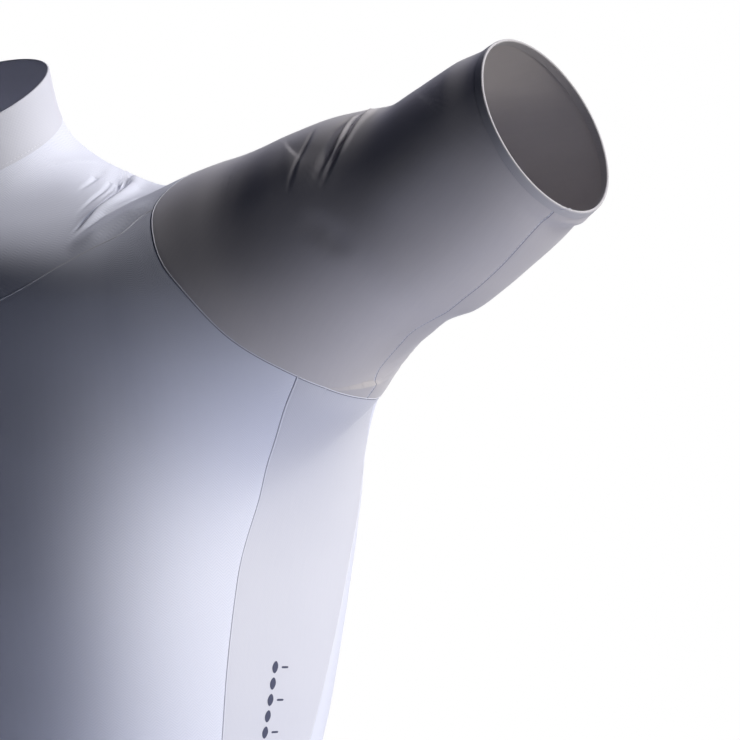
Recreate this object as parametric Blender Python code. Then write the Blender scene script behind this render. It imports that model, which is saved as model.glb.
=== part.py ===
"""A short-sleeved cycling jersey as it is worn with both arms raised, on a general figure.

Units are metres, +Z is up. The front faces -Y and the wearer's left is +X. The origin is the middle of
the neck base, where the shoulders and the neck hold the garment up.
"""

import math

import bpy
import numpy as np

# Cloth and seams
CLOTH = 0.0014
SEAM_GAP = 0.0004
BAND_HEIGHT = 0.020
CUFF_BAND = 0.0045

# The trunk under the cloth: height, half breadth, middle y, front and back depth, front and back squareness
TRUNK = np.array([
    (-0.66, 0.176, 0.066, 0.112, 0.124, 2.4, 2.5),
    (-0.56, 0.172, 0.065, 0.110, 0.124, 2.4, 2.6),
    (-0.48, 0.158, 0.064, 0.106, 0.112, 2.4, 2.7),
    (-0.40, 0.142, 0.062, 0.104, 0.101, 2.4, 2.8),
    (-0.34, 0.144, 0.059, 0.107, 0.105, 2.6, 3.0),
    (-0.28, 0.154, 0.056, 0.114, 0.114, 2.95, 3.2),
    (-0.22, 0.162, 0.053, 0.121, 0.124, 3.2, 3.3),
    (-0.16, 0.170, 0.049, 0.119, 0.131, 3.3, 3.3),
    (-0.115, 0.1695, 0.0455, 0.1135, 0.1315, 3.2, 3.3),
    (-0.085, 0.168, 0.044, 0.1115, 0.131, 3.3, 3.4),
    (-0.055, 0.168, 0.044, 0.1115, 0.131, 3.3, 3.4),
])
DOME_BASE = -0.085
DOME_HEIGHT = 0.050
DOME_POWER = 2.4

# Round cones of the neck, shoulder line, chest and back: both ends with their radii
NECK = ((0.0, 0.012, -0.060), (0.0, -0.030, 0.095), 0.055, 0.052)
SHOULDER = ((0.0, 0.035, -0.040), (0.120, 0.030, -0.088), 0.052, 0.048)
CHEST = ((0.030, -0.010, -0.115), (0.148, 0.012, -0.098), 0.036, 0.024)
BACK_MUSCLE = ((0.050, 0.105, -0.110), (0.152, 0.095, -0.100), 0.040, 0.024)
MIDDLE_SOFTNESS = 0.020
SHOULDER_BLEND = 0.066
MUSCLE_BLEND = 0.115
ARM_BLEND = 0.125
NECK_BLEND = 0.034

# The raised arm: middle of the cuff and the way the arm points
CUFF_MIDDLE = np.array((0.3490, 0.0530, -0.0002))
ARM_OUT = np.array((0.8996, 0.1008, 0.4250))
ARM_LIFT = np.array((-0.3716, -0.3346, 0.8660))
# The arm's sections: how far inwards from the cuff, offset up, radius up and radius to the side
ARM = np.array([
    (-0.050, 0.0030, 0.0440, 0.0440),
    (0.000, 0.0000, 0.0461, 0.0461),
    (0.028, -0.0038, 0.0495, 0.0490),
    (0.051, -0.0061, 0.0512, 0.0505),
    (0.068, -0.0075, 0.0523, 0.0520),
    (0.086, -0.0053, 0.0554, 0.0540),
    (0.100, -0.0022, 0.0560, 0.0545),
    (0.120, -0.0010, 0.0568, 0.0540),
    (0.140, -0.0015, 0.0570, 0.0535),
    (0.167, -0.0025, 0.0570, 0.0520),
    (0.190, -0.0030, 0.0560, 0.0510),
    (0.240, -0.0030, 0.0550, 0.0500),
])
ARM_CAP_START = 0.165
ARM_CAP_LENGTH = 0.050

# Armhole seam round the arm: degrees from the top towards the front, and how far in from the cuff
ARMHOLE = np.array([
    (132, 0.162),
    (153, 0.159),
    (178, 0.1625),
    (194, 0.170),
    (212, 0.180),
    (240, 0.187),
    (270, 0.189),
    (300, 0.190),
    (330, 0.190),
    (360, 0.187),
    (389, 0.194),
    (406, 0.191),
    (421, 0.187),
    (433, 0.182),
    (458, 0.174),
    (492, 0.162),
    (513, 0.159),
    (538, 0.1625),
    (554, 0.170),
])
UNDERARM, SIDE_BACK, RIDGE, YOKE, SIDE_FRONT = 178.0, 212.0, 360.0, 389.5, 492.0
# Underarm seam: how far in from the cuff, and degrees
UNDERARM_SEAM = np.array([
    (0.000, 143.0),
    (0.020, 145.5),
    (0.046, 152.0),
    (0.079, 156.5),
    (0.101, 163.0),
    (0.130, 170.0),
    (0.1625, 178.0),
])

# Seams on the trunk as (x, y, z) of the left side, each point then set on the form
SIDE_FRONT_SEAM = (
    (0.218, 0.011, -0.136),
    (0.192, 0.028, -0.159),
    (0.171, 0.039, -0.182),
    (0.162, 0.036, -0.222),
    (0.154, 0.035, -0.273),
    (0.146, 0.040, -0.330),
    (0.142, 0.044, -0.400),
)
SIDE_BACK_SEAM = (
    (0.159, 0.139, -0.165),
    (0.151, 0.131, -0.220),
    (0.146, 0.116, -0.280),
    (0.141, 0.103, -0.340),
    (0.139, 0.103, -0.400),
)
YOKE_SEAM = (
    (0.050, -0.073, -0.098),
    (0.080, -0.070, -0.089),
    (0.108, -0.063, -0.0775),
    (0.127, -0.054, -0.0665),
    (0.142, -0.043, -0.056),
    (0.151, -0.036, -0.0490),
    (0.155, -0.027, -0.0405),
)
RIDGE_LINE = (
    (0.080, 0.020, -0.018),
    (0.110, 0.022, -0.026),
    (0.135, 0.020, -0.027),
)
YOKE_AT_ZIP = -0.103
ARMHOLE_FOOT_AT_ZIP, ARMHOLE_FOOT_AT_BACK = -0.175, -0.190
BACK_RISE = (-0.135, -0.085)
BACK_OVER = (0.0, 0.110, -0.028)
HEM_SIDE_FRONT, HEM_SIDE_BACK = 83.0, 112.0
HEM_FRONT, HEM_DROP = -0.475, 0.060
HEM_DROP_START, HEM_DROP_SPAN = 70.0, 95.0
NECK_SEAM_MIDDLE, NECK_SEAM_TILT = -0.004, 0.026
COLLAR_HEIGHT = 0.026

# Zip
ZIP_HALF = 0.0060
TAPE_IN, TAPE_OUT = 0.0020, 0.0057
COIL_HALF, COIL_PROUD, COIL_THICK = 0.0016, 0.0006, 0.0020
# How far back of x = 0 the rays towards the front start at most
ZIP_RAY_START = 0.02

# Zip slider, measured from its own middle: down and up along the zip, half width, and heights off the cloth
SLIDER_DROP = 0.0075
SLIDER = np.array([
    (-0.0055, 0.0026),
    (-0.0034, 0.0034),
    (-0.0022, 0.0038),
    (0.0022, 0.0041),
    (0.0034, 0.0040),
    (0.0055, 0.0031),
])
SLIDER_HEIGHTS = (0.0009, 0.0029, 0.00495, 0.00585)
BRIDGE_HALF = 0.0011

# Pull tab, measured from its cross bar: how far down and half width. Its bar turns under the slider's bridge
PULL = np.array([
    (-0.0005, 0.0028),
    (0.0005, 0.0028),
    (0.0054, 0.0028),
    (0.0072, 0.0028),
    (0.0225, 0.0033),
    (0.0245, 0.0024),
])
PULL_WINDOW_HALF = 0.0014
PULL_THICK = 0.0010
PULL_BAR_UP, PULL_BAR_OUT = -0.0011, 0.003925

# Pockets: columns of the back from its middle, rows from the hem band, and how far they stand off
POCKET_COLUMNS = {"pocket_right": (-10, -4), "pocket_middle": (-4, 4), "pocket_left": (4, 10)}
POCKET_ROWS = (0, 7)
POCKET_LIFT = 0.0095
POCKET_CLOTH = 0.0012
POCKET_CLEAR = 0.0004
POCKET_FULLNESS = 0.7

# Steps of each stretch of seam, and of the line of a crease
UNDER_BACK_STEPS, BACK_STEPS, YOKE_STEPS, FRONT_STEPS, UNDER_FRONT_STEPS = 2, 9, 5, 8, 4
SIDE_STEPS = 15
NECK_FRONT_STEPS, NECK_BACK_STEPS, RIDGE_STEPS = 5, 4, 8
SLEEVE_STEPS = 11
COLLAR_STEPS = 2
CREASE_STEPS = 24
# Part of a half wave that a crease's depth runs through from end to end
CREASE_FADE = (0.08, 0.92)

# Main creases as troughs between points on the left side: depth and half width
CREASES = (
    (0.0018, 0.0090, (
        (0.268, -0.012, 0.036),
        (0.246, -0.022, 0.026),
        (0.226, -0.034, 0.008),
        (0.217, -0.040, -0.014),
    )),
    (0.0020, 0.0080, (
        (0.136, 0.000, -0.026),
        (0.120, -0.010, -0.032),
        (0.104, -0.026, -0.040),
    )),
)

# Colours as linear RGB
WHITE_MESH = (0.66, 0.67, 0.76, 1.0)
WHITE_SIDE = (0.74, 0.75, 0.82, 1.0)
SLEEVE_GREY = (0.60, 0.60, 0.67, 1.0)
BAND_WHITE = (0.78, 0.78, 0.84, 1.0)
ZIP_WHITE = (0.70, 0.71, 0.76, 1.0)
PULL_METAL = (0.55, 0.55, 0.58, 1.0)
CLOTH_ROUGHNESS, METAL_ROUGHNESS, METAL_METALLIC = 0.8, 0.35, 0.9
SHARP_ANGLE = math.radians(40)


def unit(v):
    return v / (np.linalg.norm(v, axis=-1, keepdims=True) + 1e-12)


ARM_OUT = unit(ARM_OUT)
ARM_LIFT = unit(ARM_LIFT - ARM_OUT * (ARM_LIFT @ ARM_OUT))
ARM_FRONT = np.cross(ARM_OUT, ARM_LIFT)


def read_table(table, x):
    """Reads every column but the first at x by smooth cubic pieces."""
    xs = table[:, 0]
    slopes = np.gradient(table[:, 1:], xs, axis=0)
    x = np.clip(np.atleast_1d(x), xs[0], xs[-1])
    i = np.clip(np.searchsorted(xs, x) - 1, 0, len(xs) - 2)
    step = (xs[i + 1] - xs[i])[:, None]
    t = (x - xs[i])[:, None] / step
    low, high = table[i, 1:], table[i + 1, 1:]
    rise_low, rise_high = slopes[i] * step, slopes[i + 1] * step
    return (
        (2 * t**3 - 3 * t**2 + 1) * low
        + (t**3 - 2 * t**2 + t) * rise_low
        + (3 * t**2 - 2 * t**3) * high
        + (t**3 - t**2) * rise_high
    )


def blend(a, b, reach):
    """The nearer of two distances, rounded where they meet."""
    h = np.maximum(reach - np.abs(a - b), 0.0) / reach
    return np.minimum(a, b) - h**3 * reach / 6


def scaled_distance(radius, ratio):
    return radius * (1 - 1 / np.maximum(ratio, 1e-6))


def trunk_distance(p):
    section = read_table(TRUNK, np.minimum(p[:, 2], DOME_BASE))
    breadth, middle, front, back, front_square, back_square = section.T
    dy = p[:, 1] - middle
    depth = np.where(dy < 0, front, back)
    power = np.where(dy < 0, front_square, back_square)
    flat = ((p[:, 0] / breadth) ** power + (np.abs(dy) / depth) ** power + 1e-12) ** (1 / power)
    rise = np.maximum(p[:, 2] - DOME_BASE, 0.0)
    ratio = (flat**DOME_POWER + (rise / DOME_HEIGHT) ** DOME_POWER) ** (1 / DOME_POWER)
    return scaled_distance(np.sqrt(p[:, 0] ** 2 + dy**2 + rise**2 + 1e-12), ratio)


def cone_distance(p, cone):
    start, end = np.array(cone[0]), np.array(cone[1])
    along = end - start
    t = np.clip(((p - start) @ along) / (along @ along), 0.0, 1.0)
    radius = cone[2] + (cone[3] - cone[2]) * t
    return np.linalg.norm(p - start - t[:, None] * along, axis=1) - radius


def arm_distance(p):
    d = p - CUFF_MIDDLE
    inwards = -(d @ ARM_OUT)
    offset, radius_up, radius_side = read_table(ARM, inwards).T
    up = d @ ARM_LIFT - offset
    side = d @ ARM_FRONT
    deep = np.maximum(inwards - ARM_CAP_START, 0.0)
    flat = (up / radius_up) ** 2 + (side / radius_side) ** 2 + 1e-12
    ratio = np.sqrt(flat + (deep / ARM_CAP_LENGTH) ** 2)
    return scaled_distance(np.sqrt(up**2 + side**2 + deep**2 + 1e-12), ratio)


def form_distance(p):
    """Rough distance outside the general figure, the same on both sides of x = 0."""
    p = p * np.where(p[:, :1] < 0, (-1, 1, 1), (1, 1, 1))
    soft = np.column_stack([np.hypot(p[:, 0], MIDDLE_SOFTNESS), p[:, 1:]])
    body = blend(trunk_distance(p), cone_distance(soft, SHOULDER), SHOULDER_BLEND)
    body = blend(body, cone_distance(soft, CHEST), MUSCLE_BLEND)
    body = blend(body, cone_distance(soft, BACK_MUSCLE), MUSCLE_BLEND)
    body = blend(body, arm_distance(p), ARM_BLEND)
    return blend(body, cone_distance(p, NECK), NECK_BLEND)


def form_slope(p, reach=0.0004):
    slope = np.empty_like(p)
    for axis in range(3):
        step = np.zeros(3)
        step[axis] = reach
        slope[:, axis] = (form_distance(p + step) - form_distance(p - step)) / (2 * reach)
    return slope


def set_on_form(points, rounds=12):
    """Moves points to the nearest place on the form."""
    shape = np.shape(points)
    p = np.array(points, float).reshape(-1, 3)
    for _ in range(rounds):
        slope = form_slope(p)
        steep = np.maximum((slope**2).sum(axis=1), 0.05)
        step = slope * (form_distance(p) / steep)[:, None]
        length = np.linalg.norm(step, axis=1, keepdims=True)
        p = p - step * np.minimum(1.0, 0.01 / (length + 1e-12))
    return p.reshape(shape)


def form_normal(points):
    shape = np.shape(points)
    return unit(form_slope(np.reshape(points, (-1, 3)))).reshape(shape)


def cast_out(origins, ways, rounds=70):
    """From inside the form out along each way until the form's surface."""
    origins, ways = np.atleast_2d(origins) + np.zeros((len(ways), 3)), unit(ways)
    t = np.zeros(len(ways))
    for _ in range(rounds):
        t = t - 0.8 * form_distance(origins + ways * t[:, None])
    return origins + ways * t[:, None]


def arm_points(degrees, inwards):
    """Points of the form round the arm, degrees from its top towards the front."""
    angle = np.radians(degrees)[:, None]
    origins = CUFF_MIDDLE - ARM_OUT * np.asarray(inwards)[:, None]
    return cast_out(origins, np.cos(angle) * ARM_LIFT + np.sin(angle) * ARM_FRONT)


def trunk_points(degrees, heights):
    """Points of the form round the trunk, degrees from the front towards +X."""
    angle = np.radians(degrees)
    middle = read_table(TRUNK, heights)[:, 1]
    origins = np.stack([0 * middle, middle, heights], axis=1)
    return cast_out(origins, np.stack([np.sin(angle), -np.cos(angle), 0 * angle], axis=1))


def neck_points(degrees, heights):
    low, high = np.array(NECK[0]), np.array(NECK[1])
    origins = low + (high - low) * ((heights - low[2]) / (high - low)[2])[:, None]
    angle = np.radians(degrees)
    return cast_out(origins, np.stack([np.sin(angle), -np.cos(angle), 0 * angle], axis=1))


def resample(points, steps):
    """A smooth curve through points, read at equal lengths."""
    points = np.asarray(points, float)
    knots = np.arange(len(points), dtype=float)
    fine = read_table(np.column_stack([knots, points]), np.linspace(0, knots[-1], 40 * len(points)))
    lengths = np.concatenate([[0], np.cumsum(np.linalg.norm(np.diff(fine, axis=0), axis=1))])
    wanted = np.linspace(0, lengths[-1], steps + 1)
    return np.stack([np.interp(wanted, lengths, fine[:, k]) for k in range(3)], axis=1)


def seam(start, points, end, steps):
    """A seam on the form from start to end through points, whose ends stay exactly where they are."""
    curve = resample([start, *points, end], steps)
    curve = set_on_form(curve)
    curve[0], curve[-1] = start, end
    return curve


def stretch(low, high, steps):
    return np.linspace(low, high, steps + 1)


def hem_height(degrees):
    """Height of the panels' lower edge: level at the front and lower behind."""
    t = np.clip((degrees - HEM_DROP_START) / HEM_DROP_SPAN, 0, 1)
    return HEM_FRONT - HEM_DROP * t * t * (3 - 2 * t)


def patch(left, right, bottom, top, rounds=14):
    """A grid set on the form between four curves: left and right run up, bottom and top to the right."""
    rows, columns = len(left) - 1, len(bottom) - 1
    v = np.linspace(0, 1, rows + 1)[:, None, None]
    u = np.linspace(0, 1, columns + 1)[None, :, None]
    grid = (
        (1 - v) * bottom[None] + v * top[None]
        + (1 - u) * left[:, None] + u * right[:, None]
        - (1 - u) * (1 - v) * bottom[0] - u * (1 - v) * bottom[-1]
        - (1 - u) * v * top[0] - u * v * top[-1]
    )
    for turn in range(rounds):
        grid[1:-1, 1:-1] = set_on_form(grid[1:-1, 1:-1], 4)
        if turn < rounds - 1:
            beside = grid[1:-1, :-2] + grid[1:-1, 2:] + grid[:-2, 1:-1] + grid[2:, 1:-1]
            grid[1:-1, 1:-1] += 0.5 * (beside / 4 - grid[1:-1, 1:-1])
    grid[0], grid[-1], grid[:, 0], grid[:, -1] = bottom, top, left, right
    return grid


def crease_depth(points):
    """How far the main creases sink at each point, the same on both sides."""
    p = points * np.where(points[..., :1] < 0, (-1, 1, 1), (1, 1, 1))
    sunk = np.zeros(p.shape[:-1])
    for depth, half_width, line in CREASES:
        curve = resample(line, CREASE_STEPS)
        away = np.linalg.norm(p[..., None, :] - curve, axis=-1)
        along = away.argmin(axis=-1) / CREASE_STEPS
        fade = np.sin(np.pi * np.interp(along, (0, 1), CREASE_FADE))
        sunk = sunk + depth * fade * np.exp(-((away.min(axis=-1) / half_width) ** 2))
    return sunk


def quads(grid):
    """Corners of each face of a grid, facing out where rows run up and columns to the wearer's left."""
    rows, columns = grid.shape[0], grid.shape[1]
    index = np.arange(rows * columns).reshape(rows, columns)
    return np.stack([index[:-1, :-1], index[:-1, 1:], index[1:, 1:], index[1:, :-1]], axis=-1).reshape(-1, 4)


def joined(grids):
    """One sheet of points and faces from grids whose shared edges have equal points."""
    points = np.concatenate([g.reshape(-1, 3) for g in grids])
    starts = np.cumsum([0] + [g.shape[0] * g.shape[1] for g in grids])
    faces = np.concatenate([quads(g) + s for g, s in zip(grids, starts)])
    _, first, index = np.unique(np.round(points, 6) + 0.0, axis=0, return_index=True, return_inverse=True)
    return points[first], index.reshape(-1)[faces]


def rim_edges(faces):
    ends = np.concatenate([np.stack([faces[:, i], faces[:, (i + 1) % 4]], axis=1) for i in range(4)])
    ends = ends[ends[:, 0] != ends[:, 1]]
    known = {tuple(e) for e in ends.tolist()}
    return np.array([e for e in ends.tolist() if (e[1], e[0]) not in known])


def pulled_in(points, faces, normals, distance, sharpest=0.6):
    """Points with the rim drawn in along the sheet, held back at corners sharper than a limit."""
    rim = rim_edges(faces)
    inward = np.zeros_like(points)
    count = np.zeros(len(points))
    for a, b in rim:
        way = unit(np.cross(normals[a] + normals[b], points[b] - points[a]))
        for k in (a, b):
            inward[k] += way
            count[k] += 1
    length = np.linalg.norm(inward, axis=1)
    at_rim = count > 0
    scale = np.zeros(len(points))
    scale[at_rim] = count[at_rim] / np.maximum(length[at_rim], sharpest) ** 2
    return points + inward * scale[:, None] * distance


def solid_sheet(name, points, faces, normals, colour, thick=CLOTH, gap=SEAM_GAP / 2):
    """A closed wall of cloth: the outer points, a copy sunk by the thickness, and a strip round each rim."""
    outer = pulled_in(points, faces, normals, gap)
    inner = outer - normals * thick
    count = len(points)
    every = [list(map(int, dict.fromkeys(f))) for f in faces.tolist()]
    solid = every + [[count + k for k in reversed(f)] for f in every]
    for a, b in rim_edges(faces).tolist():
        solid.append([b, a, count + a, count + b])
    return add_mesh(name, np.concatenate([outer, inner]), solid, colour)


def add_mesh(name, points, faces, colour, roughness=CLOTH_ROUGHNESS, metallic=0.0, origin=(0.0, 0.0, 0.0)):
    mesh = bpy.data.meshes.new(name)
    mesh.from_pydata([tuple(p) for p in points - np.array(origin)], [], [tuple(f) for f in faces])
    mesh.validate()
    mesh.shade_smooth()
    mesh.set_sharp_from_angle(angle=SHARP_ANGLE)
    obj = bpy.data.objects.new(name, mesh)
    obj.location = origin
    bpy.context.scene.collection.objects.link(obj)
    material = bpy.data.materials.new(name)
    material.use_nodes = True
    shader = material.node_tree.nodes["Principled BSDF"]
    shader.inputs["Base Color"].default_value = colour
    shader.inputs["Roughness"].default_value = roughness
    shader.inputs["Metallic"].default_value = metallic
    mesh.materials.append(material)
    return obj


def mirrored(grid):
    """The same grid on the other side, with its columns turned round so that it still faces out."""
    return grid[:, ::-1] * (-1, 1, 1)


def panel(name, grids, colour):
    points, faces = joined(grids)
    normals = form_normal(points)
    return solid_sheet(name, points - normals * crease_depth(points)[:, None], faces, normals, colour)


def armhole_ring():
    """Degrees and points of the armhole from the underarm round the back, over the top and down the front."""
    degrees = np.concatenate([
        stretch(UNDERARM, SIDE_BACK, UNDER_BACK_STEPS),
        stretch(SIDE_BACK, RIDGE, BACK_STEPS)[1:],
        stretch(RIDGE, YOKE, YOKE_STEPS)[1:],
        stretch(YOKE, SIDE_FRONT, FRONT_STEPS)[1:],
        stretch(SIDE_FRONT, UNDERARM + 360, UNDER_FRONT_STEPS)[1:],
    ])
    points = arm_points(degrees, read_table(ARMHOLE, degrees)[:, 0])
    points[-1] = points[0]
    return degrees, points


def make_edges():
    """Every seam of the left half, each a row of points shared by the panels that meet there."""
    degrees, ring = armhole_ring()
    a = UNDER_BACK_STEPS
    b = a + BACK_STEPS
    c = b + YOKE_STEPS
    d = c + FRONT_STEPS
    edges = {
        "ring": ring,
        "ring_degrees": degrees,
        "hole_side": np.concatenate([ring[d:], ring[1 : a + 1]]),
        "hole_back": ring[a : b + 1],
        "hole_yoke": ring[b : c + 1],
        "hole_front": ring[c : d + 1][::-1],
    }
    front_columns = NECK_FRONT_STEPS + RIDGE_STEPS
    back_columns = NECK_BACK_STEPS + RIDGE_STEPS
    zip_degrees = math.degrees(math.asin(ZIP_HALF / read_table(TRUNK, HEM_FRONT)[0, 2]))
    for name, low, high, steps in (
        ("hem_front", zip_degrees, HEM_SIDE_FRONT, front_columns),
        ("hem_side", HEM_SIDE_FRONT, HEM_SIDE_BACK, UNDER_BACK_STEPS + UNDER_FRONT_STEPS),
        ("hem_back", HEM_SIDE_BACK, 180.0, back_columns),
    ):
        around = stretch(low, high, steps)
        edges[name] = trunk_points(around, hem_height(around))
        edges[name + "_low"] = trunk_points(around, hem_height(around) - BAND_HEIGHT)
    edges["hem_front"][0, 0] = edges["hem_front_low"][0, 0] = ZIP_HALF
    edges["hem_back"][-1, 0] = edges["hem_back_low"][-1, 0] = 0.0
    edges["side_front"] = seam(edges["hem_front"][-1], SIDE_FRONT_SEAM[::-1], ring[d], SIDE_STEPS)
    edges["side_back"] = seam(edges["hem_side"][-1], SIDE_BACK_SEAM[::-1], ring[a], SIDE_STEPS)
    edges["zip_low"] = zip_edge(edges["hem_front"][0][2], ARMHOLE_FOOT_AT_ZIP, SIDE_STEPS)
    edges["zip_mid"] = zip_edge(ARMHOLE_FOOT_AT_ZIP, YOKE_AT_ZIP, FRONT_STEPS)
    neck_start = math.degrees(math.asin(ZIP_HALF / NECK[2]))
    around = stretch(neck_start, 90, NECK_FRONT_STEPS)
    edges["neck_front"] = neck_points(around, neck_height(around))
    edges["neck_front_degrees"] = around
    edges["neck_front"][0, 0] = ZIP_HALF
    around = stretch(90, 180, NECK_BACK_STEPS)
    edges["neck_back"] = neck_points(around, neck_height(around))
    edges["neck_back"][-1, 0] = 0.0
    edges["neck_back_degrees"] = around
    edges["zip_high"] = zip_edge(YOKE_AT_ZIP, edges["neck_front"][0][2], YOKE_STEPS)
    edges["zip_high"][-1] = edges["neck_front"][0]
    edges["ridge"] = seam(edges["neck_front"][-1], RIDGE_LINE, ring[b], RIDGE_STEPS)
    edges["yoke"] = seam(edges["zip_mid"][-1], YOKE_SEAM, ring[c], front_columns)
    return edges


def neck_height(degrees):
    return NECK_SEAM_MIDDLE - NECK_SEAM_TILT * np.cos(np.radians(degrees))


def zip_edge(low, high, steps):
    """Points of the form beside the zip at equal heights."""
    heights = stretch(low, high, steps)
    middle = read_table(TRUNK, np.minimum(heights, DOME_BASE))[:, 1]
    origins = np.stack([ZIP_HALF + 0 * heights, np.minimum(middle, ZIP_RAY_START), heights], axis=1)
    return cast_out(origins, np.tile((0.0, -1.0, 0.0), (len(heights), 1)))


def make_grids(e):
    """The left half's panels as grids of points."""
    front_left = np.concatenate([e["zip_low"], e["zip_mid"][1:]])
    front_right = np.concatenate([e["side_front"], e["hole_front"][1:]])
    front = patch(front_left, front_right, e["hem_front"], e["yoke"])
    side = patch(e["side_front"], e["side_back"], e["hem_side"], e["hole_side"])
    back_right = back_middle(e)
    back_left = np.concatenate([e["side_back"], e["hole_back"][1:]])
    back_top = np.concatenate([e["ridge"][::-1], e["neck_back"][1:]])
    back = patch(back_left, back_right, e["hem_back"], back_top)
    yoke_bottom = e["yoke"]
    yoke_top = np.concatenate([e["neck_front"], e["ridge"][1:]])
    yoke = patch(e["zip_high"], e["hole_yoke"][::-1], yoke_bottom, yoke_top)
    return {"front": front, "side": side, "back": back, "yoke": yoke}


def back_middle(e):
    """Points up the middle of the back from the hem to the neck."""
    heights = stretch(e["hem_back"][-1][2], ARMHOLE_FOOT_AT_BACK, SIDE_STEPS)
    straight = trunk_points(np.full(len(heights), 180.0), heights)
    through = trunk_points(np.full(len(BACK_RISE), 180.0), np.array(BACK_RISE))
    over = seam(straight[-1], (*through, BACK_OVER), e["neck_back"][-1], BACK_STEPS)
    curve = np.concatenate([straight, over[1:]])
    curve[:, 0] = 0.0
    return curve


def sleeve_grid(e, steps=SLEEVE_STEPS, cuff=CUFF_BAND):
    """Rows from the cuff up to the armhole, columns round the arm from the underarm seam and back to it."""
    rows = []
    hole = read_table(ARMHOLE, e["ring_degrees"])[:, 0]
    turn = e["ring_degrees"] - UNDERARM
    for v in stretch(0, 1, steps):
        inwards = cuff + (hole - cuff) * v
        start = read_table(UNDERARM_SEAM, np.array([inwards[0]]))[0, 0]
        degrees = start + turn
        row = arm_points(degrees, inwards)
        row[-1] = row[0]
        rows.append(row)
    rows[-1] = e["ring"].copy()
    return np.array(rows)[:, ::-1]


def build_body(grids):
    for side, turn in (("left", lambda g: g), ("right", mirrored)):
        panel("front_" + side, [turn(grids["front"])], WHITE_MESH)
        panel("side_" + side, [turn(grids["side"])], WHITE_SIDE)
    whole_back = [grids["back"], mirrored(grids["back"]), grids["yoke"], mirrored(grids["yoke"])]
    panel("back", whole_back, WHITE_MESH)


def build_sleeves(e):
    sleeve = sleeve_grid(e)
    rim = sleeve_grid(e, 1, 0.0)[0]
    edge = np.array([rim, sleeve[0]])
    for side, turn in (("left", lambda g: g), ("right", mirrored)):
        panel("sleeve_" + side, [turn(sleeve)], SLEEVE_GREY)
        panel("cuff_" + side, [turn(edge)], BAND_WHITE)


def build_hem(e):
    high = np.concatenate([e["hem_front"], e["hem_side"][1:], e["hem_back"][1:]])
    low = np.concatenate([e["hem_front_low"], e["hem_side_low"][1:], e["hem_back_low"][1:]])
    half = np.array([low, high])
    panel("hem_band", [half, mirrored(half)], BAND_WHITE)


def collar_grid(e):
    """The standing collar's left half, rows from the neck seam up."""
    degrees = np.concatenate([e["neck_front_degrees"], e["neck_back_degrees"][1:]])
    seam_line = np.concatenate([e["neck_front"], e["neck_back"][1:]])
    rows = [seam_line]
    for k in range(1, COLLAR_STEPS + 1):
        row = neck_points(degrees, seam_line[:, 2] + COLLAR_HEIGHT * k / COLLAR_STEPS)
        row[0, 0], row[-1, 0] = ZIP_HALF, 0.0
        rows.append(row)
    return np.array(rows)


def build_collar(e):
    half = collar_grid(e)
    panel("collar", [half, mirrored(half)], WHITE_SIDE)


def zip_line(e):
    """Points beside the zip from the hem's lower edge to the collar's top."""
    collar = collar_grid(e)[1:, 0]
    return np.concatenate([e["hem_front_low"][:1], e["zip_low"], e["zip_mid"][1:], e["zip_high"][1:], collar])


def strip(line, left, right):
    """A two-column grid that follows a line up, from x = left to x = right."""
    grid = np.stack([line, line], axis=1)
    grid[:, 0, 0], grid[:, 1, 0] = left, right
    return grid


def build_zip(e):
    line = zip_line(e)
    for name, left, right in (("zip_tape_left", TAPE_IN, TAPE_OUT), ("zip_tape_right", -TAPE_OUT, -TAPE_IN)):
        points, faces = joined([strip(line, left, right)])
        solid_sheet(name, points, faces, form_normal(points), BAND_WHITE, gap=0.0)
    points, faces = joined([strip(line, -COIL_HALF, COIL_HALF)])
    normals = form_normal(points)
    solid_sheet("zip_coil", points + normals * COIL_PROUD, faces, normals, ZIP_WHITE, COIL_THICK, gap=0.0)
    build_slider(line)


def cell_solid(corners, filled):
    """Points and faces of the filled cells of a grid of corners, with a face wherever a cell meets none."""
    shape = np.array(corners.shape[:3])
    index = np.arange(shape.prod()).reshape(shape)
    full = np.pad(filled, 1)
    faces = []
    for cell in np.argwhere(filled):
        for axis in range(3):
            side, other = (axis + 1) % 3, (axis + 2) % 3
            for end in (0, 1):
                beside = cell + 1
                beside[axis] += 2 * end - 1
                if full[tuple(beside)]:
                    continue
                ring = []
                for a, b in ((0, 0), (1, 0), (1, 1), (0, 1)):
                    corner = cell.copy()
                    corner[axis] += end
                    corner[side] += a
                    corner[other] += b
                    ring.append(index[tuple(corner)])
                faces.append(ring if end else ring[::-1])
    used, renamed = np.unique(faces, return_inverse=True)
    return corners.reshape(-1, 3)[used], renamed.reshape(-1, 4).tolist()


def grid_corners(rows, inner_half, heights, origin, along, out):
    """Corners of cells: rows are (distance along, half width), three columns across, a layer a height."""
    corners = np.empty((4, len(rows), len(heights), 3))
    for k, half in enumerate((None, inner_half, inner_half, None)):
        for j, (distance, wide) in enumerate(rows):
            x = (wide if half is None else half) * (-1 if k < 2 else 1)
            for m, height in enumerate(heights):
                corners[k, j, m] = origin + np.array((x, 0.0, 0.0)) + along * distance + out * height
    return corners


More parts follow.
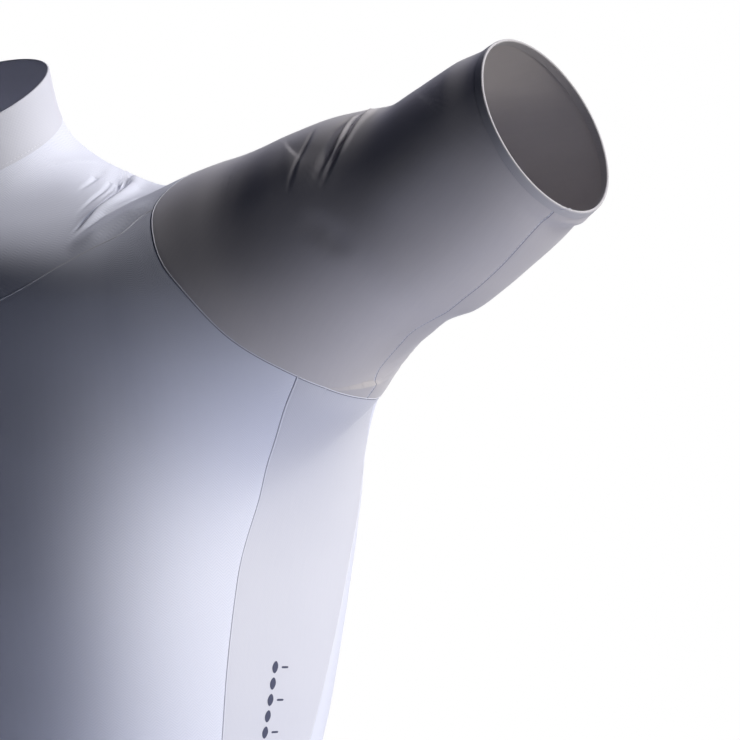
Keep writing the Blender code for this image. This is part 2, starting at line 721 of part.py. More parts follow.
def build_slider(line):
    """The slider near the zip's top with its bridge, and the pull tab that hangs from a bar under it."""
    middle = line * (0.0, 1.0, 1.0)
    from_top = np.linalg.norm(middle[-1] - middle, axis=1)
    place = np.array([0.0, *(np.interp(SLIDER_DROP, from_top[::-1], middle[::-1, k]) for k in (1, 2))])
    out = unit(form_normal(place[None])[0] * (0.0, 1.0, 1.0))
    up = np.cross(out, (1.0, 0.0, 0.0))
    corners = grid_corners(SLIDER, BRIDGE_HALF, SLIDER_HEIGHTS, place, up, out)
    filled = np.zeros((3, 5, 3), bool)
    filled[:, :, 0] = True
    filled[1, (1, 3), 1] = True
    filled[1, 1:4, 2] = True
    points, faces = cell_solid(corners, filled)
    add_mesh("zip_slider", points, faces, PULL_METAL, METAL_ROUGHNESS, METAL_METALLIC)
    bar = place + up * PULL_BAR_UP + out * PULL_BAR_OUT
    down, forward = np.array((0.0, 0.0, -1.0)), np.array((0.0, -1.0, 0.0))
    corners = grid_corners(PULL, PULL_WINDOW_HALF, (-PULL_THICK / 2, PULL_THICK / 2), bar, down, forward)
    filled = np.ones((3, 5, 1), bool)
    filled[1, 1, 0] = False
    points, faces = cell_solid(corners, filled)
    faces = [face[::-1] for face in faces]
    add_mesh("zip_pull", points, faces, PULL_METAL, METAL_ROUGHNESS, METAL_METALLIC, bar)


def build_pockets(grids):
    """Three pockets that lie on the back at their sides and foot and stand off it at the mouth."""
    whole = whole_back_grid(grids["back"])
    middle = whole.shape[1] // 2
    low, high = POCKET_ROWS
    for name, (first, last) in POCKET_COLUMNS.items():
        columns = sorted((middle - first, middle - last))
        grid = whole[low : high + 1, columns[0] : columns[1] + 1]
        rows, count = grid.shape[:2]
        u = np.sin(np.pi * np.linspace(0, 1, count))[None, :] ** POCKET_FULLNESS
        v = np.sin(0.5 * np.pi * np.linspace(0, 1, rows))[:, None]
        lift = POCKET_CLEAR + POCKET_CLOTH + POCKET_LIFT * u * v
        normals = form_normal(grid)
        raised = grid + normals * lift[..., None]
        points, faces = joined([raised])
        solid_sheet(name, points, faces, form_normal(points), WHITE_SIDE, POCKET_CLOTH)


def whole_back_grid(half):
    """Both halves of the back in one grid, columns running from the wearer's left to the right."""
    return np.concatenate([half, mirrored(half)[:, 1:]], axis=1)


def clear_scene():
    for obj in list(bpy.data.objects):
        bpy.data.objects.remove(obj, do_unlink=True)


def main():
    clear_scene()
    edges = make_edges()
    grids = make_grids(edges)
    build_body(grids)
    build_sleeves(edges)
    build_hem(edges)
    build_collar(edges)
    build_zip(edges)
    build_pockets(grids)


if __name__ == "__main__":
    main()
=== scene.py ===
"""Looks of the cycling jersey: fine knit sheets with creases, seams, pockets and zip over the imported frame.

Units are metres, +Z is up. The front faces -Y and the wearer's left is +X.
"""

import math

import bpy
import numpy as np
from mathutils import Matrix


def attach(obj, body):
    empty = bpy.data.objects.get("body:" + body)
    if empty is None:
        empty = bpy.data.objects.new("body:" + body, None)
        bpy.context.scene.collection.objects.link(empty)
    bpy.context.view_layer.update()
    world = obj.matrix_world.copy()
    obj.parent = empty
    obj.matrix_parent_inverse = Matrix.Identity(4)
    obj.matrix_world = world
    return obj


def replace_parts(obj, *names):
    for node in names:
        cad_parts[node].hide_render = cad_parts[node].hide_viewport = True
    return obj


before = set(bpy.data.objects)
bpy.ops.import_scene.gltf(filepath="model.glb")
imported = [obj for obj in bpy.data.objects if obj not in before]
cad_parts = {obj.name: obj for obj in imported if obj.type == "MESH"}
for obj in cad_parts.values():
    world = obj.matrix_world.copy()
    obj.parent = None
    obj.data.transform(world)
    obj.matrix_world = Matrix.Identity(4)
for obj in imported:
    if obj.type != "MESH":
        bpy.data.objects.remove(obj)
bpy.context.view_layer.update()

# Cloth and bands
CLOTH = 0.0014
BAND_HEIGHT = 0.020
CUFF_BAND = 0.0045
BAND_PROUD = 0.00025

# The trunk under the cloth: height, half breadth, middle y, front and back depth, front and back squareness
TRUNK = np.array([
    (-0.66, 0.176, 0.066, 0.112, 0.124, 2.4, 2.5),
    (-0.56, 0.172, 0.065, 0.110, 0.124, 2.4, 2.6),
    (-0.48, 0.158, 0.064, 0.106, 0.112, 2.4, 2.7),
    (-0.40, 0.142, 0.062, 0.104, 0.101, 2.4, 2.8),
    (-0.34, 0.144, 0.059, 0.107, 0.105, 2.6, 3.0),
    (-0.28, 0.154, 0.056, 0.114, 0.114, 2.95, 3.2),
    (-0.22, 0.162, 0.053, 0.121, 0.124, 3.2, 3.3),
    (-0.16, 0.170, 0.049, 0.119, 0.131, 3.3, 3.3),
    (-0.115, 0.1695, 0.0455, 0.1135, 0.1315, 3.2, 3.3),
    (-0.085, 0.168, 0.044, 0.1115, 0.131, 3.3, 3.4),
    (-0.055, 0.168, 0.044, 0.1115, 0.131, 3.3, 3.4),
])
DOME_BASE = -0.085
DOME_HEIGHT = 0.050
DOME_POWER = 2.4

# Round cones of the neck, shoulder line, chest and back: both ends with their radii
NECK = ((0.0, 0.012, -0.060), (0.0, -0.030, 0.095), 0.055, 0.052)
SHOULDER = ((0.0, 0.035, -0.040), (0.120, 0.030, -0.088), 0.052, 0.048)
CHEST = ((0.030, -0.010, -0.115), (0.148, 0.012, -0.098), 0.036, 0.024)
BACK_MUSCLE = ((0.050, 0.105, -0.110), (0.152, 0.095, -0.100), 0.040, 0.024)
MIDDLE_SOFTNESS = 0.020
SHOULDER_BLEND = 0.066
MUSCLE_BLEND = 0.115
ARM_BLEND = 0.125
NECK_BLEND = 0.034

# The raised arm: middle of the cuff and the way the arm points
CUFF_MIDDLE = np.array((0.3490, 0.0530, -0.0002))
ARM_OUT = np.array((0.8996, 0.1008, 0.4250))
ARM_LIFT = np.array((-0.3716, -0.3346, 0.8660))
# The arm's sections: how far inwards from the cuff, offset up, radius up and radius to the side
ARM = np.array([
    (-0.050, 0.0030, 0.0440, 0.0440),
    (0.000, 0.0000, 0.0461, 0.0461),
    (0.028, -0.0038, 0.0495, 0.0490),
    (0.051, -0.0061, 0.0512, 0.0505),
    (0.068, -0.0075, 0.0523, 0.0520),
    (0.086, -0.0053, 0.0554, 0.0540),
    (0.100, -0.0022, 0.0560, 0.0545),
    (0.120, -0.0010, 0.0568, 0.0540),
    (0.140, -0.0015, 0.0570, 0.0535),
    (0.167, -0.0025, 0.0570, 0.0520),
    (0.190, -0.0030, 0.0560, 0.0510),
    (0.240, -0.0030, 0.0550, 0.0500),
])
ARM_CAP_START = 0.165
ARM_CAP_LENGTH = 0.050

# Armhole seam round the arm: degrees from the top towards the front, and how far in from the cuff
ARMHOLE = np.array([
    (132, 0.162),
    (153, 0.159),
    (178, 0.1625),
    (194, 0.170),
    (212, 0.180),
    (240, 0.187),
    (270, 0.189),
    (300, 0.190),
    (330, 0.190),
    (360, 0.187),
    (389, 0.194),
    (406, 0.191),
    (421, 0.187),
    (433, 0.182),
    (458, 0.174),
    (492, 0.162),
    (513, 0.159),
    (538, 0.1625),
    (554, 0.170),
])
UNDERARM, SIDE_BACK, RIDGE, YOKE, SIDE_FRONT = 178.0, 212.0, 360.0, 389.5, 492.0
# Underarm seam: how far in from the cuff, and degrees
UNDERARM_SEAM = np.array([
    (0.000, 143.0),
    (0.020, 145.5),
    (0.046, 152.0),
    (0.079, 156.5),
    (0.101, 163.0),
    (0.130, 170.0),
    (0.1625, 178.0),
])

# Seams on the trunk as (x, y, z) of the left side, each point then set on the form
SIDE_FRONT_SEAM = (
    (0.218, 0.011, -0.136),
    (0.192, 0.028, -0.159),
    (0.171, 0.039, -0.182),
    (0.162, 0.036, -0.222),
    (0.154, 0.035, -0.273),
    (0.146, 0.040, -0.330),
    (0.142, 0.044, -0.400),
)
SIDE_BACK_SEAM = (
    (0.159, 0.139, -0.165),
    (0.151, 0.131, -0.220),
    (0.146, 0.116, -0.280),
    (0.141, 0.103, -0.340),
    (0.139, 0.103, -0.400),
)
YOKE_SEAM = (
    (0.050, -0.073, -0.098),
    (0.080, -0.070, -0.089),
    (0.108, -0.063, -0.0775),
    (0.127, -0.054, -0.0665),
    (0.142, -0.043, -0.056),
    (0.151, -0.036, -0.0490),
    (0.155, -0.027, -0.0405),
)
RIDGE_LINE = (
    (0.080, 0.020, -0.018),
    (0.110, 0.022, -0.026),
    (0.135, 0.020, -0.027),
)
YOKE_AT_ZIP = -0.103
ARMHOLE_FOOT_AT_ZIP, ARMHOLE_FOOT_AT_BACK = -0.175, -0.190
BACK_RISE = (-0.135, -0.085)
BACK_OVER = (0.0, 0.110, -0.028)
HEM_SIDE_FRONT, HEM_SIDE_BACK = 83.0, 112.0
HEM_FRONT, HEM_DROP = -0.475, 0.060
HEM_DROP_START, HEM_DROP_SPAN = 70.0, 95.0
NECK_SEAM_MIDDLE, NECK_SEAM_TILT = -0.004, 0.026
COLLAR_HEIGHT = 0.026

# Zip
ZIP_HALF = 0.0060
ZIP_CAST_MIDDLE = 0.02
TAPE_IN, TAPE_OUT, TAPE_SUNK = 0.0014, 0.0060, 0.0003
TAPE_STEPS = 300
TOOTH_PITCH = 0.0016
TOOTH_RINGS, TOOTH_SIDES = 5, 6
# A tooth from its foot past the zip's middle to its tip: start, length, radius, slim ends, swelling, arch
TOOTH_FOOT, TOOTH_LENGTH = -0.0006, 0.0023
TOOTH_RADIUS, TOOTH_SLIM, TOOTH_FLAT = 0.00052, 0.35, 0.9
SWELL_START, SWELL_SPAN = 0.12, 0.5
TOOTH_LIFT, TOOTH_ARCH = 0.00010, 0.00035

# Pockets: columns of the back counted from its middle, rows counted from the hem band
POCKET_COLUMNS = {"pocket_right": (-10, -4), "pocket_middle": (-4, 4), "pocket_left": (4, 10)}
POCKET_ROWS = (0, 7)
# How far a pocket stands off the back: beside its stitches, over the rest, and at the middle of its mouth
POCKET_FOOT, POCKET_OFF, POCKET_LIFT = 0.0003, 0.0016, 0.0095
POCKET_FULLNESS, SEWN_WIDE = 0.7, 0.0022
# Gathers along the mouth: height, spacing, their unevenness with its length, and how deep they reach
GATHER, GATHER_PITCH, GATHER_SHIFT, GATHER_DRIFT, GATHER_DEEP = 0.00045, 0.0085, 1.7, 0.013, 0.022
POCKET_CLOTH = 0.0012
POCKET_FOLD_ROWS = 9
SIDE_STITCH_COLUMNS = (3, -4)
MOUTH_STITCH_ROW, MOUTH_STITCH_STEPS = -7, 240

# Coarse steps of each stretch of seam, and how much finer the sheets are across and up
STEPS = {
    "under_back": 2, "back": 9, "yoke": 5, "front": 8, "under_front": 4,
    "side": 15, "neck_front": 5, "neck_back": 4, "ridge": 8,
}
SLEEVE_STEPS = 11
EDGE_FINE = 24
FINE = {"front": (8, 12), "side": (8, 12), "back": (8, 12), "yoke": (24, 24), "sleeve": (21, 12)}


# The search for the form's surface: guard values, then rounds, shares and limits of its steps
TINY, LEAST_RATIO, LEAST_STEEP = 1e-12, 1e-6, 0.05
LONGEST_STEP = 0.01
CAST_ROUNDS, CAST_SHARE = 45, 0.8
SEEK_ROUNDS, SEEK_SHARE, SEEK_BACK, SEEK_ON = 90, 0.75, -0.02, 0.03


def unit(v):
    return v / (np.linalg.norm(v, axis=-1, keepdims=True) + TINY)


ARM_OUT = unit(ARM_OUT)
ARM_LIFT = unit(ARM_LIFT - ARM_OUT * (ARM_LIFT @ ARM_OUT))
ARM_FRONT = np.cross(ARM_OUT, ARM_LIFT)


def read_table(table, x):
    """Reads every column but the first at x by smooth cubic pieces."""
    xs = table[:, 0]
    slopes = np.gradient(table[:, 1:], xs, axis=0)
    x = np.clip(np.atleast_1d(x), xs[0], xs[-1])
    i = np.clip(np.searchsorted(xs, x) - 1, 0, len(xs) - 2)
    step = (xs[i + 1] - xs[i])[:, None]
    t = (x - xs[i])[:, None] / step
    low, high = table[i, 1:], table[i + 1, 1:]
    rise_low, rise_high = slopes[i] * step, slopes[i + 1] * step
    return (
        (2 * t**3 - 3 * t**2 + 1) * low
        + (t**3 - 2 * t**2 + t) * rise_low
        + (3 * t**2 - 2 * t**3) * high
        + (t**3 - t**2) * rise_high
    )


def blend(a, b, reach):
    """The nearer of two distances, rounded where they meet."""
    h = np.maximum(reach - np.abs(a - b), 0.0) / reach
    return np.minimum(a, b) - h**3 * reach / 6


def scaled_distance(radius, ratio):
    return radius * (1 - 1 / np.maximum(ratio, LEAST_RATIO))


def trunk_distance(p):
    row = read_table(TRUNK, np.minimum(p[:, 2], DOME_BASE))
    breadth, middle, front, back, front_square, back_square = row.T
    dy = p[:, 1] - middle
    depth = np.where(dy < 0, front, back)
    power = np.where(dy < 0, front_square, back_square)
    flat = ((p[:, 0] / breadth) ** power + (np.abs(dy) / depth) ** power + TINY) ** (1 / power)
    rise = np.maximum(p[:, 2] - DOME_BASE, 0.0)
    ratio = (flat**DOME_POWER + (rise / DOME_HEIGHT) ** DOME_POWER) ** (1 / DOME_POWER)
    return scaled_distance(np.sqrt(p[:, 0] ** 2 + dy**2 + rise**2 + TINY), ratio)


def cone_distance(p, cone):
    start, end = np.array(cone[0]), np.array(cone[1])
    along = end - start
    t = np.clip(((p - start) @ along) / (along @ along), 0.0, 1.0)
    radius = cone[2] + (cone[3] - cone[2]) * t
    return np.linalg.norm(p - start - t[:, None] * along, axis=1) - radius


def arm_distance(p):
    d = p - CUFF_MIDDLE
    inwards = -(d @ ARM_OUT)
    offset, radius_up, radius_side = read_table(ARM, inwards).T
    up = d @ ARM_LIFT - offset
    side = d @ ARM_FRONT
    deep = np.maximum(inwards - ARM_CAP_START, 0.0)
    flat = (up / radius_up) ** 2 + (side / radius_side) ** 2 + TINY
    ratio = np.sqrt(flat + (deep / ARM_CAP_LENGTH) ** 2)
    return scaled_distance(np.sqrt(up**2 + side**2 + deep**2 + TINY), ratio)


def form_distance(p):
    """Rough distance outside the general figure, the same on both sides of x = 0."""
    p = p * np.where(p[:, :1] < 0, (-1, 1, 1), (1, 1, 1))
    soft = np.column_stack([np.hypot(p[:, 0], MIDDLE_SOFTNESS), p[:, 1:]])
    body = blend(trunk_distance(p), cone_distance(soft, SHOULDER), SHOULDER_BLEND)
    body = blend(body, cone_distance(soft, CHEST), MUSCLE_BLEND)
    body = blend(body, cone_distance(soft, BACK_MUSCLE), MUSCLE_BLEND)
    body = blend(body, arm_distance(p), ARM_BLEND)
    return blend(body, cone_distance(p, NECK), NECK_BLEND)


def form_slope(p, reach=0.0004):
    slope = np.empty_like(p)
    for axis in range(3):
        step = np.zeros(3)
        step[axis] = reach
        slope[:, axis] = (form_distance(p + step) - form_distance(p - step)) / (2 * reach)
    return slope


def set_on_form(points, rounds=12):
    """Moves points to the nearest place on the form."""
    shape = np.shape(points)
    p = np.array(points, float).reshape(-1, 3)
    for _ in range(rounds):
        slope = form_slope(p)
        steep = np.maximum((slope**2).sum(axis=1), LEAST_STEEP)
        step = slope * (form_distance(p) / steep)[:, None]
        length = np.linalg.norm(step, axis=1, keepdims=True)
        p = p - step * np.minimum(1.0, LONGEST_STEP / (length + TINY))
    return p.reshape(shape)


def form_normal(points):
    shape = np.shape(points)
    return unit(form_slope(np.reshape(points, (-1, 3)))).reshape(shape)


def cast_out(origins, ways):
    """From inside the form out along each way until the form's surface."""
    origins, ways = np.atleast_2d(origins) + np.zeros((len(ways), 3)), unit(ways)
    t = np.zeros(len(ways))
    for _ in range(CAST_ROUNDS):
        t = t - CAST_SHARE * form_distance(origins + ways * t[:, None])
    return origins + ways * t[:, None]


def arm_points(degrees, inwards):
    """Points of the form round the arm, degrees from its top towards the front."""
    angle = np.radians(degrees)[:, None]
    origins = CUFF_MIDDLE - ARM_OUT * np.asarray(inwards)[:, None]
    return cast_out(origins, np.cos(angle) * ARM_LIFT + np.sin(angle) * ARM_FRONT)


def trunk_points(degrees, heights):
    """Points of the form round the trunk, degrees from the front towards +X."""
    angle = np.radians(degrees)
    middle = read_table(TRUNK, heights)[:, 1]
    origins = np.stack([0 * middle, middle, heights], axis=1)
    return cast_out(origins, np.stack([np.sin(angle), -np.cos(angle), 0 * angle], axis=1))


def neck_points(degrees, heights):
    low, high = np.array(NECK[0]), np.array(NECK[1])
    origins = low + (high - low) * ((heights - low[2]) / (high - low)[2])[:, None]
    angle = np.radians(degrees)
    return cast_out(origins, np.stack([np.sin(angle), -np.cos(angle), 0 * angle], axis=1))


def stretch(low, high, steps):
    return np.linspace(low, high, steps + 1)


def joined(first, *others):
    """Rows of points end to end, each without the point that it shares with the one before."""
    return np.concatenate([first, *(row[1:] for row in others)])


def curve_lengths(curve):
    return np.concatenate([[0], np.cumsum(np.linalg.norm(np.diff(curve, axis=0), axis=1))])


def at_lengths(curve, wanted):
    lengths = curve_lengths(curve)
    return np.stack([np.interp(wanted, lengths, curve[:, k]) for k in range(3)], axis=1)


READ_FINE = 40


def resample(points, steps):
    """A smooth curve through points, read at equal lengths."""
    points = np.asarray(points, float)
    knots = np.arange(len(points), dtype=float)
    fine = read_table(np.column_stack([knots, points]), np.linspace(0, knots[-1], READ_FINE * len(points)))
    return at_lengths(fine, stretch(0, curve_lengths(fine)[-1], steps))


def seam(start, points, end, steps):
    """A seam on the form from start to end through points, whose ends stay exactly where they are."""
    curve = set_on_form(resample([start, *points, end], steps))
    curve[0], curve[-1] = start, end
    return curve


def hem_height(degrees):
    """Height of the panels' lower edge: level at the front and lower behind."""
    t = np.clip((degrees - HEM_DROP_START) / HEM_DROP_SPAN, 0, 1)
    return HEM_FRONT - HEM_DROP * t * t * (3 - 2 * t)


def neck_height(degrees):
    return NECK_SEAM_MIDDLE - NECK_SEAM_TILT * np.cos(np.radians(degrees))


def zip_edge(low, high, steps):
    """Points of the form beside the zip at equal heights."""
    heights = stretch(low, high, steps)
    middle = read_table(TRUNK, np.minimum(heights, DOME_BASE))[:, 1]
    origins = np.stack([ZIP_HALF + 0 * heights, np.minimum(middle, ZIP_CAST_MIDDLE), heights], axis=1)
    return cast_out(origins, np.tile((0.0, -1.0, 0.0), (len(heights), 1)))


def back_middle(e, steps):
    """Points up the middle of the back from the hem to the neck."""
    heights = stretch(e["hem_back"][-1][2], ARMHOLE_FOOT_AT_BACK, steps["side"])
    straight = trunk_points(np.full(len(heights), 180.0), heights)
    through = trunk_points(np.full(len(BACK_RISE), 180.0), np.array(BACK_RISE))
    over = seam(straight[-1], (*through, BACK_OVER), e["neck_back"][-1], steps["back"])
    curve = joined(straight, over)
    curve[:, 0] = 0.0
    return curve


def make_edges(fine):
    """Every seam of the left half, each a row of points shared by the panels that meet there."""
    steps = {name: count * fine for name, count in STEPS.items()}
    degrees = joined(
        stretch(UNDERARM, SIDE_BACK, steps["under_back"]),
        stretch(SIDE_BACK, RIDGE, steps["back"]),
        stretch(RIDGE, YOKE, steps["yoke"]),
        stretch(YOKE, SIDE_FRONT, steps["front"]),
        stretch(SIDE_FRONT, UNDERARM + 360, steps["under_front"]),
    )
    ring = arm_points(degrees, read_table(ARMHOLE, degrees)[:, 0])
    ring[-1] = ring[0]
    a = steps["under_back"]
    b = a + steps["back"]
    c = b + steps["yoke"]
    d = c + steps["front"]
    e = {
        "ring": ring,
        "ring_degrees": degrees,
        "hole_side": joined(ring[d:], ring[: a + 1]),
        "hole_back": ring[a : b + 1],
        "hole_yoke": ring[b : c + 1],
        "hole_front": ring[c : d + 1][::-1],
    }
    front_columns = steps["neck_front"] + steps["ridge"]
    zip_degrees = math.degrees(math.asin(ZIP_HALF / read_table(TRUNK, HEM_FRONT)[0, 2]))
    for name, low, high, count in (
        ("hem_front", zip_degrees, HEM_SIDE_FRONT, front_columns),
        ("hem_side", HEM_SIDE_FRONT, HEM_SIDE_BACK, steps["under_back"] + steps["under_front"]),
        ("hem_back", HEM_SIDE_BACK, 180.0, steps["neck_back"] + steps["ridge"]),
    ):
        around = stretch(low, high, count)
        e[name] = trunk_points(around, hem_height(around))
        e[name + "_low"] = trunk_points(around, hem_height(around) - BAND_HEIGHT)
    e["hem_front"][0, 0] = e["hem_front_low"][0, 0] = ZIP_HALF
    e["hem_back"][-1, 0] = e["hem_back_low"][-1, 0] = 0.0
    e["side_front"] = seam(e["hem_front"][-1], SIDE_FRONT_SEAM[::-1], ring[d], steps["side"])
    e["side_back"] = seam(e["hem_side"][-1], SIDE_BACK_SEAM[::-1], ring[a], steps["side"])
    e["zip_low"] = zip_edge(e["hem_front"][0][2], ARMHOLE_FOOT_AT_ZIP, steps["side"])
    e["zip_mid"] = zip_edge(ARMHOLE_FOOT_AT_ZIP, YOKE_AT_ZIP, steps["front"])
    neck_start = math.degrees(math.asin(ZIP_HALF / NECK[2]))
    for name, low, high, count in (
        ("neck_front", neck_start, 90.0, steps["neck_front"]),
        ("neck_back", 90.0, 180.0, steps["neck_back"]),
    ):
        around = stretch(low, high, count)
        e[name] = neck_points(around, neck_height(around))
        e[name + "_degrees"] = around
    e["neck_front"][0, 0] = ZIP_HALF
    e["neck_back"][-1, 0] = 0.0
    e["zip_high"] = zip_edge(YOKE_AT_ZIP, e["neck_front"][0][2], steps["yoke"])
    e["zip_high"][-1] = e["neck_front"][0]
    e["ridge"] = seam(e["neck_front"][-1], RIDGE_LINE, ring[b], steps["ridge"])
    e["yoke"] = seam(e["zip_mid"][-1], YOKE_SEAM, ring[c], front_columns)
    e["back_middle"] = back_middle(e, steps)
    return e


def panel_edges(e):
    """Left, right, bottom and top edge of each panel of the left half."""
    return {
        "front": (
            joined(e["zip_low"], e["zip_mid"]), joined(e["side_front"], e["hole_front"]),
            e["hem_front"], e["yoke"],
        ),
        "side": (e["side_front"], e["side_back"], e["hem_side"], e["hole_side"]),
        "back": (
            joined(e["side_back"], e["hole_back"]), e["back_middle"], e["hem_back"],
            joined(e["ridge"][::-1], e["neck_back"]),
        ),
        "yoke": (e["zip_high"], e["hole_yoke"][::-1], e["yoke"], joined(e["neck_front"], e["ridge"])),
    }


def between_edges(left, right, bottom, top):
    """Points spread evenly between four edge curves."""
    v = np.linspace(0, 1, len(left))[:, None, None]
    u = np.linspace(0, 1, len(bottom))[None, :, None]
    return (
        (1 - v) * bottom[None] + v * top[None]
        + (1 - u) * left[:, None] + u * right[:, None]
        - (1 - u) * (1 - v) * bottom[0] - u * (1 - v) * bottom[-1]
        - (1 - u) * v * top[0] - u * v * top[-1]
    )


EASE = 0.5


def patch(left, right, bottom, top, rounds=14):
    """A grid set on the form between four edge curves: two run upwards, and two to the right."""
    grid = between_edges(left, right, bottom, top)
    for turn in range(rounds):
        grid[1:-1, 1:-1] = set_on_form(grid[1:-1, 1:-1], rounds=4)
        if turn < rounds - 1:
            beside = grid[1:-1, :-2] + grid[1:-1, 2:] + grid[:-2, 1:-1] + grid[2:, 1:-1]
            grid[1:-1, 1:-1] += EASE * (beside / 4 - grid[1:-1, 1:-1])
    grid[0], grid[-1], grid[:, 0], grid[:, -1] = bottom, top, left, right
    return grid


def finer(grid, down, across):
    """The same surface read at more rows and columns by smooth cubic pieces."""
    for count in (down, across):
        steps = grid.shape[0] - 1
        table = np.column_stack([np.arange(steps + 1.0), grid.reshape(steps + 1, -1)])
        grid = read_table(table, stretch(0, steps, steps * count)).reshape(steps * count + 1, -1, 3)
        grid = grid.transpose(1, 0, 2)
    return grid


def fine_panel(coarse, edges, down, across):
    """A fine grid on the form that follows a coarse one inside and the fine seams at its edges."""
    left, right = (side[:: EDGE_FINE // down] for side in edges[:2])
    bottom, top = (side[:: EDGE_FINE // across] for side in edges[2:])
    grid = finer(coarse, down, across)
    grid = grid + between_edges(left - grid[:, 0], right - grid[:, -1], bottom - grid[0], top - grid[-1])
    grid[1:-1, 1:-1] = set_on_form(grid[1:-1, 1:-1], rounds=3)
    grid[0], grid[-1], grid[:, 0], grid[:, -1] = bottom, top, left, right
    return grid


def sleeve_rows(ring_degrees, inwards_of):
    """Rows round the arm from the cuff up to the armhole, from the underarm seam and back to it."""
    hole = read_table(ARMHOLE, ring_degrees)[:, 0]
    inwards = inwards_of(hole)
    start = read_table(UNDERARM_SEAM, inwards[:, 0])[:, 0]
    degrees = start[:, None] + (ring_degrees - UNDERARM)[None]
    rows = arm_points(degrees.ravel(), inwards.ravel()).reshape(*degrees.shape, 3)
    rows[:, -1] = rows[:, 0]
    return rows[:, ::-1]


SIDES = (("left", 1), ("right", -1))


def mirrored(grid):
    """The same grid on the other side, with its columns turned round so that it still faces out."""
    return grid[:, ::-1] * (-1, 1, 1)


def turned(grid, flip):
    """A left grid for its own side, or mirrored for the right one."""
    return grid if flip > 0 else mirrored(grid)


def both_halves(half):
    """A left grid that ends at the middle, and its mirror image after it."""
    return np.concatenate([half, mirrored(half)[:, 1:]], axis=1)


# Camera of the photo: turned to the wearer's left, level, 2.2 m from a point in front of the shoulder
CAMERA_TURN = 42.0
CAMERA_PLACE = (1.6068, -1.4693, -0.1166)
CAMERA_LENS = 201.9
SENSOR = 36.0
IMAGE_SIZE = 740
NEAREST = 1.75


def seen_at(x, y):
    """The point of the form that the camera sees at a place in the photo."""
    turn = math.radians(CAMERA_TURN)
    scale = SENSOR / (CAMERA_LENS * IMAGE_SIZE)
    aside, up = (x - IMAGE_SIZE / 2) * scale, (IMAGE_SIZE / 2 - y) * scale
    way = (math.cos(turn) * aside - math.sin(turn), math.sin(turn) * aside + math.cos(turn), up)
    way = unit(np.array([way]))
    t = NEAREST
    for _ in range(SEEK_ROUNDS):
        t += np.clip(SEEK_SHARE * form_distance(CAMERA_PLACE + way * t), SEEK_BACK, SEEK_ON)[0]
    return tuple((CAMERA_PLACE + way * t)[0])


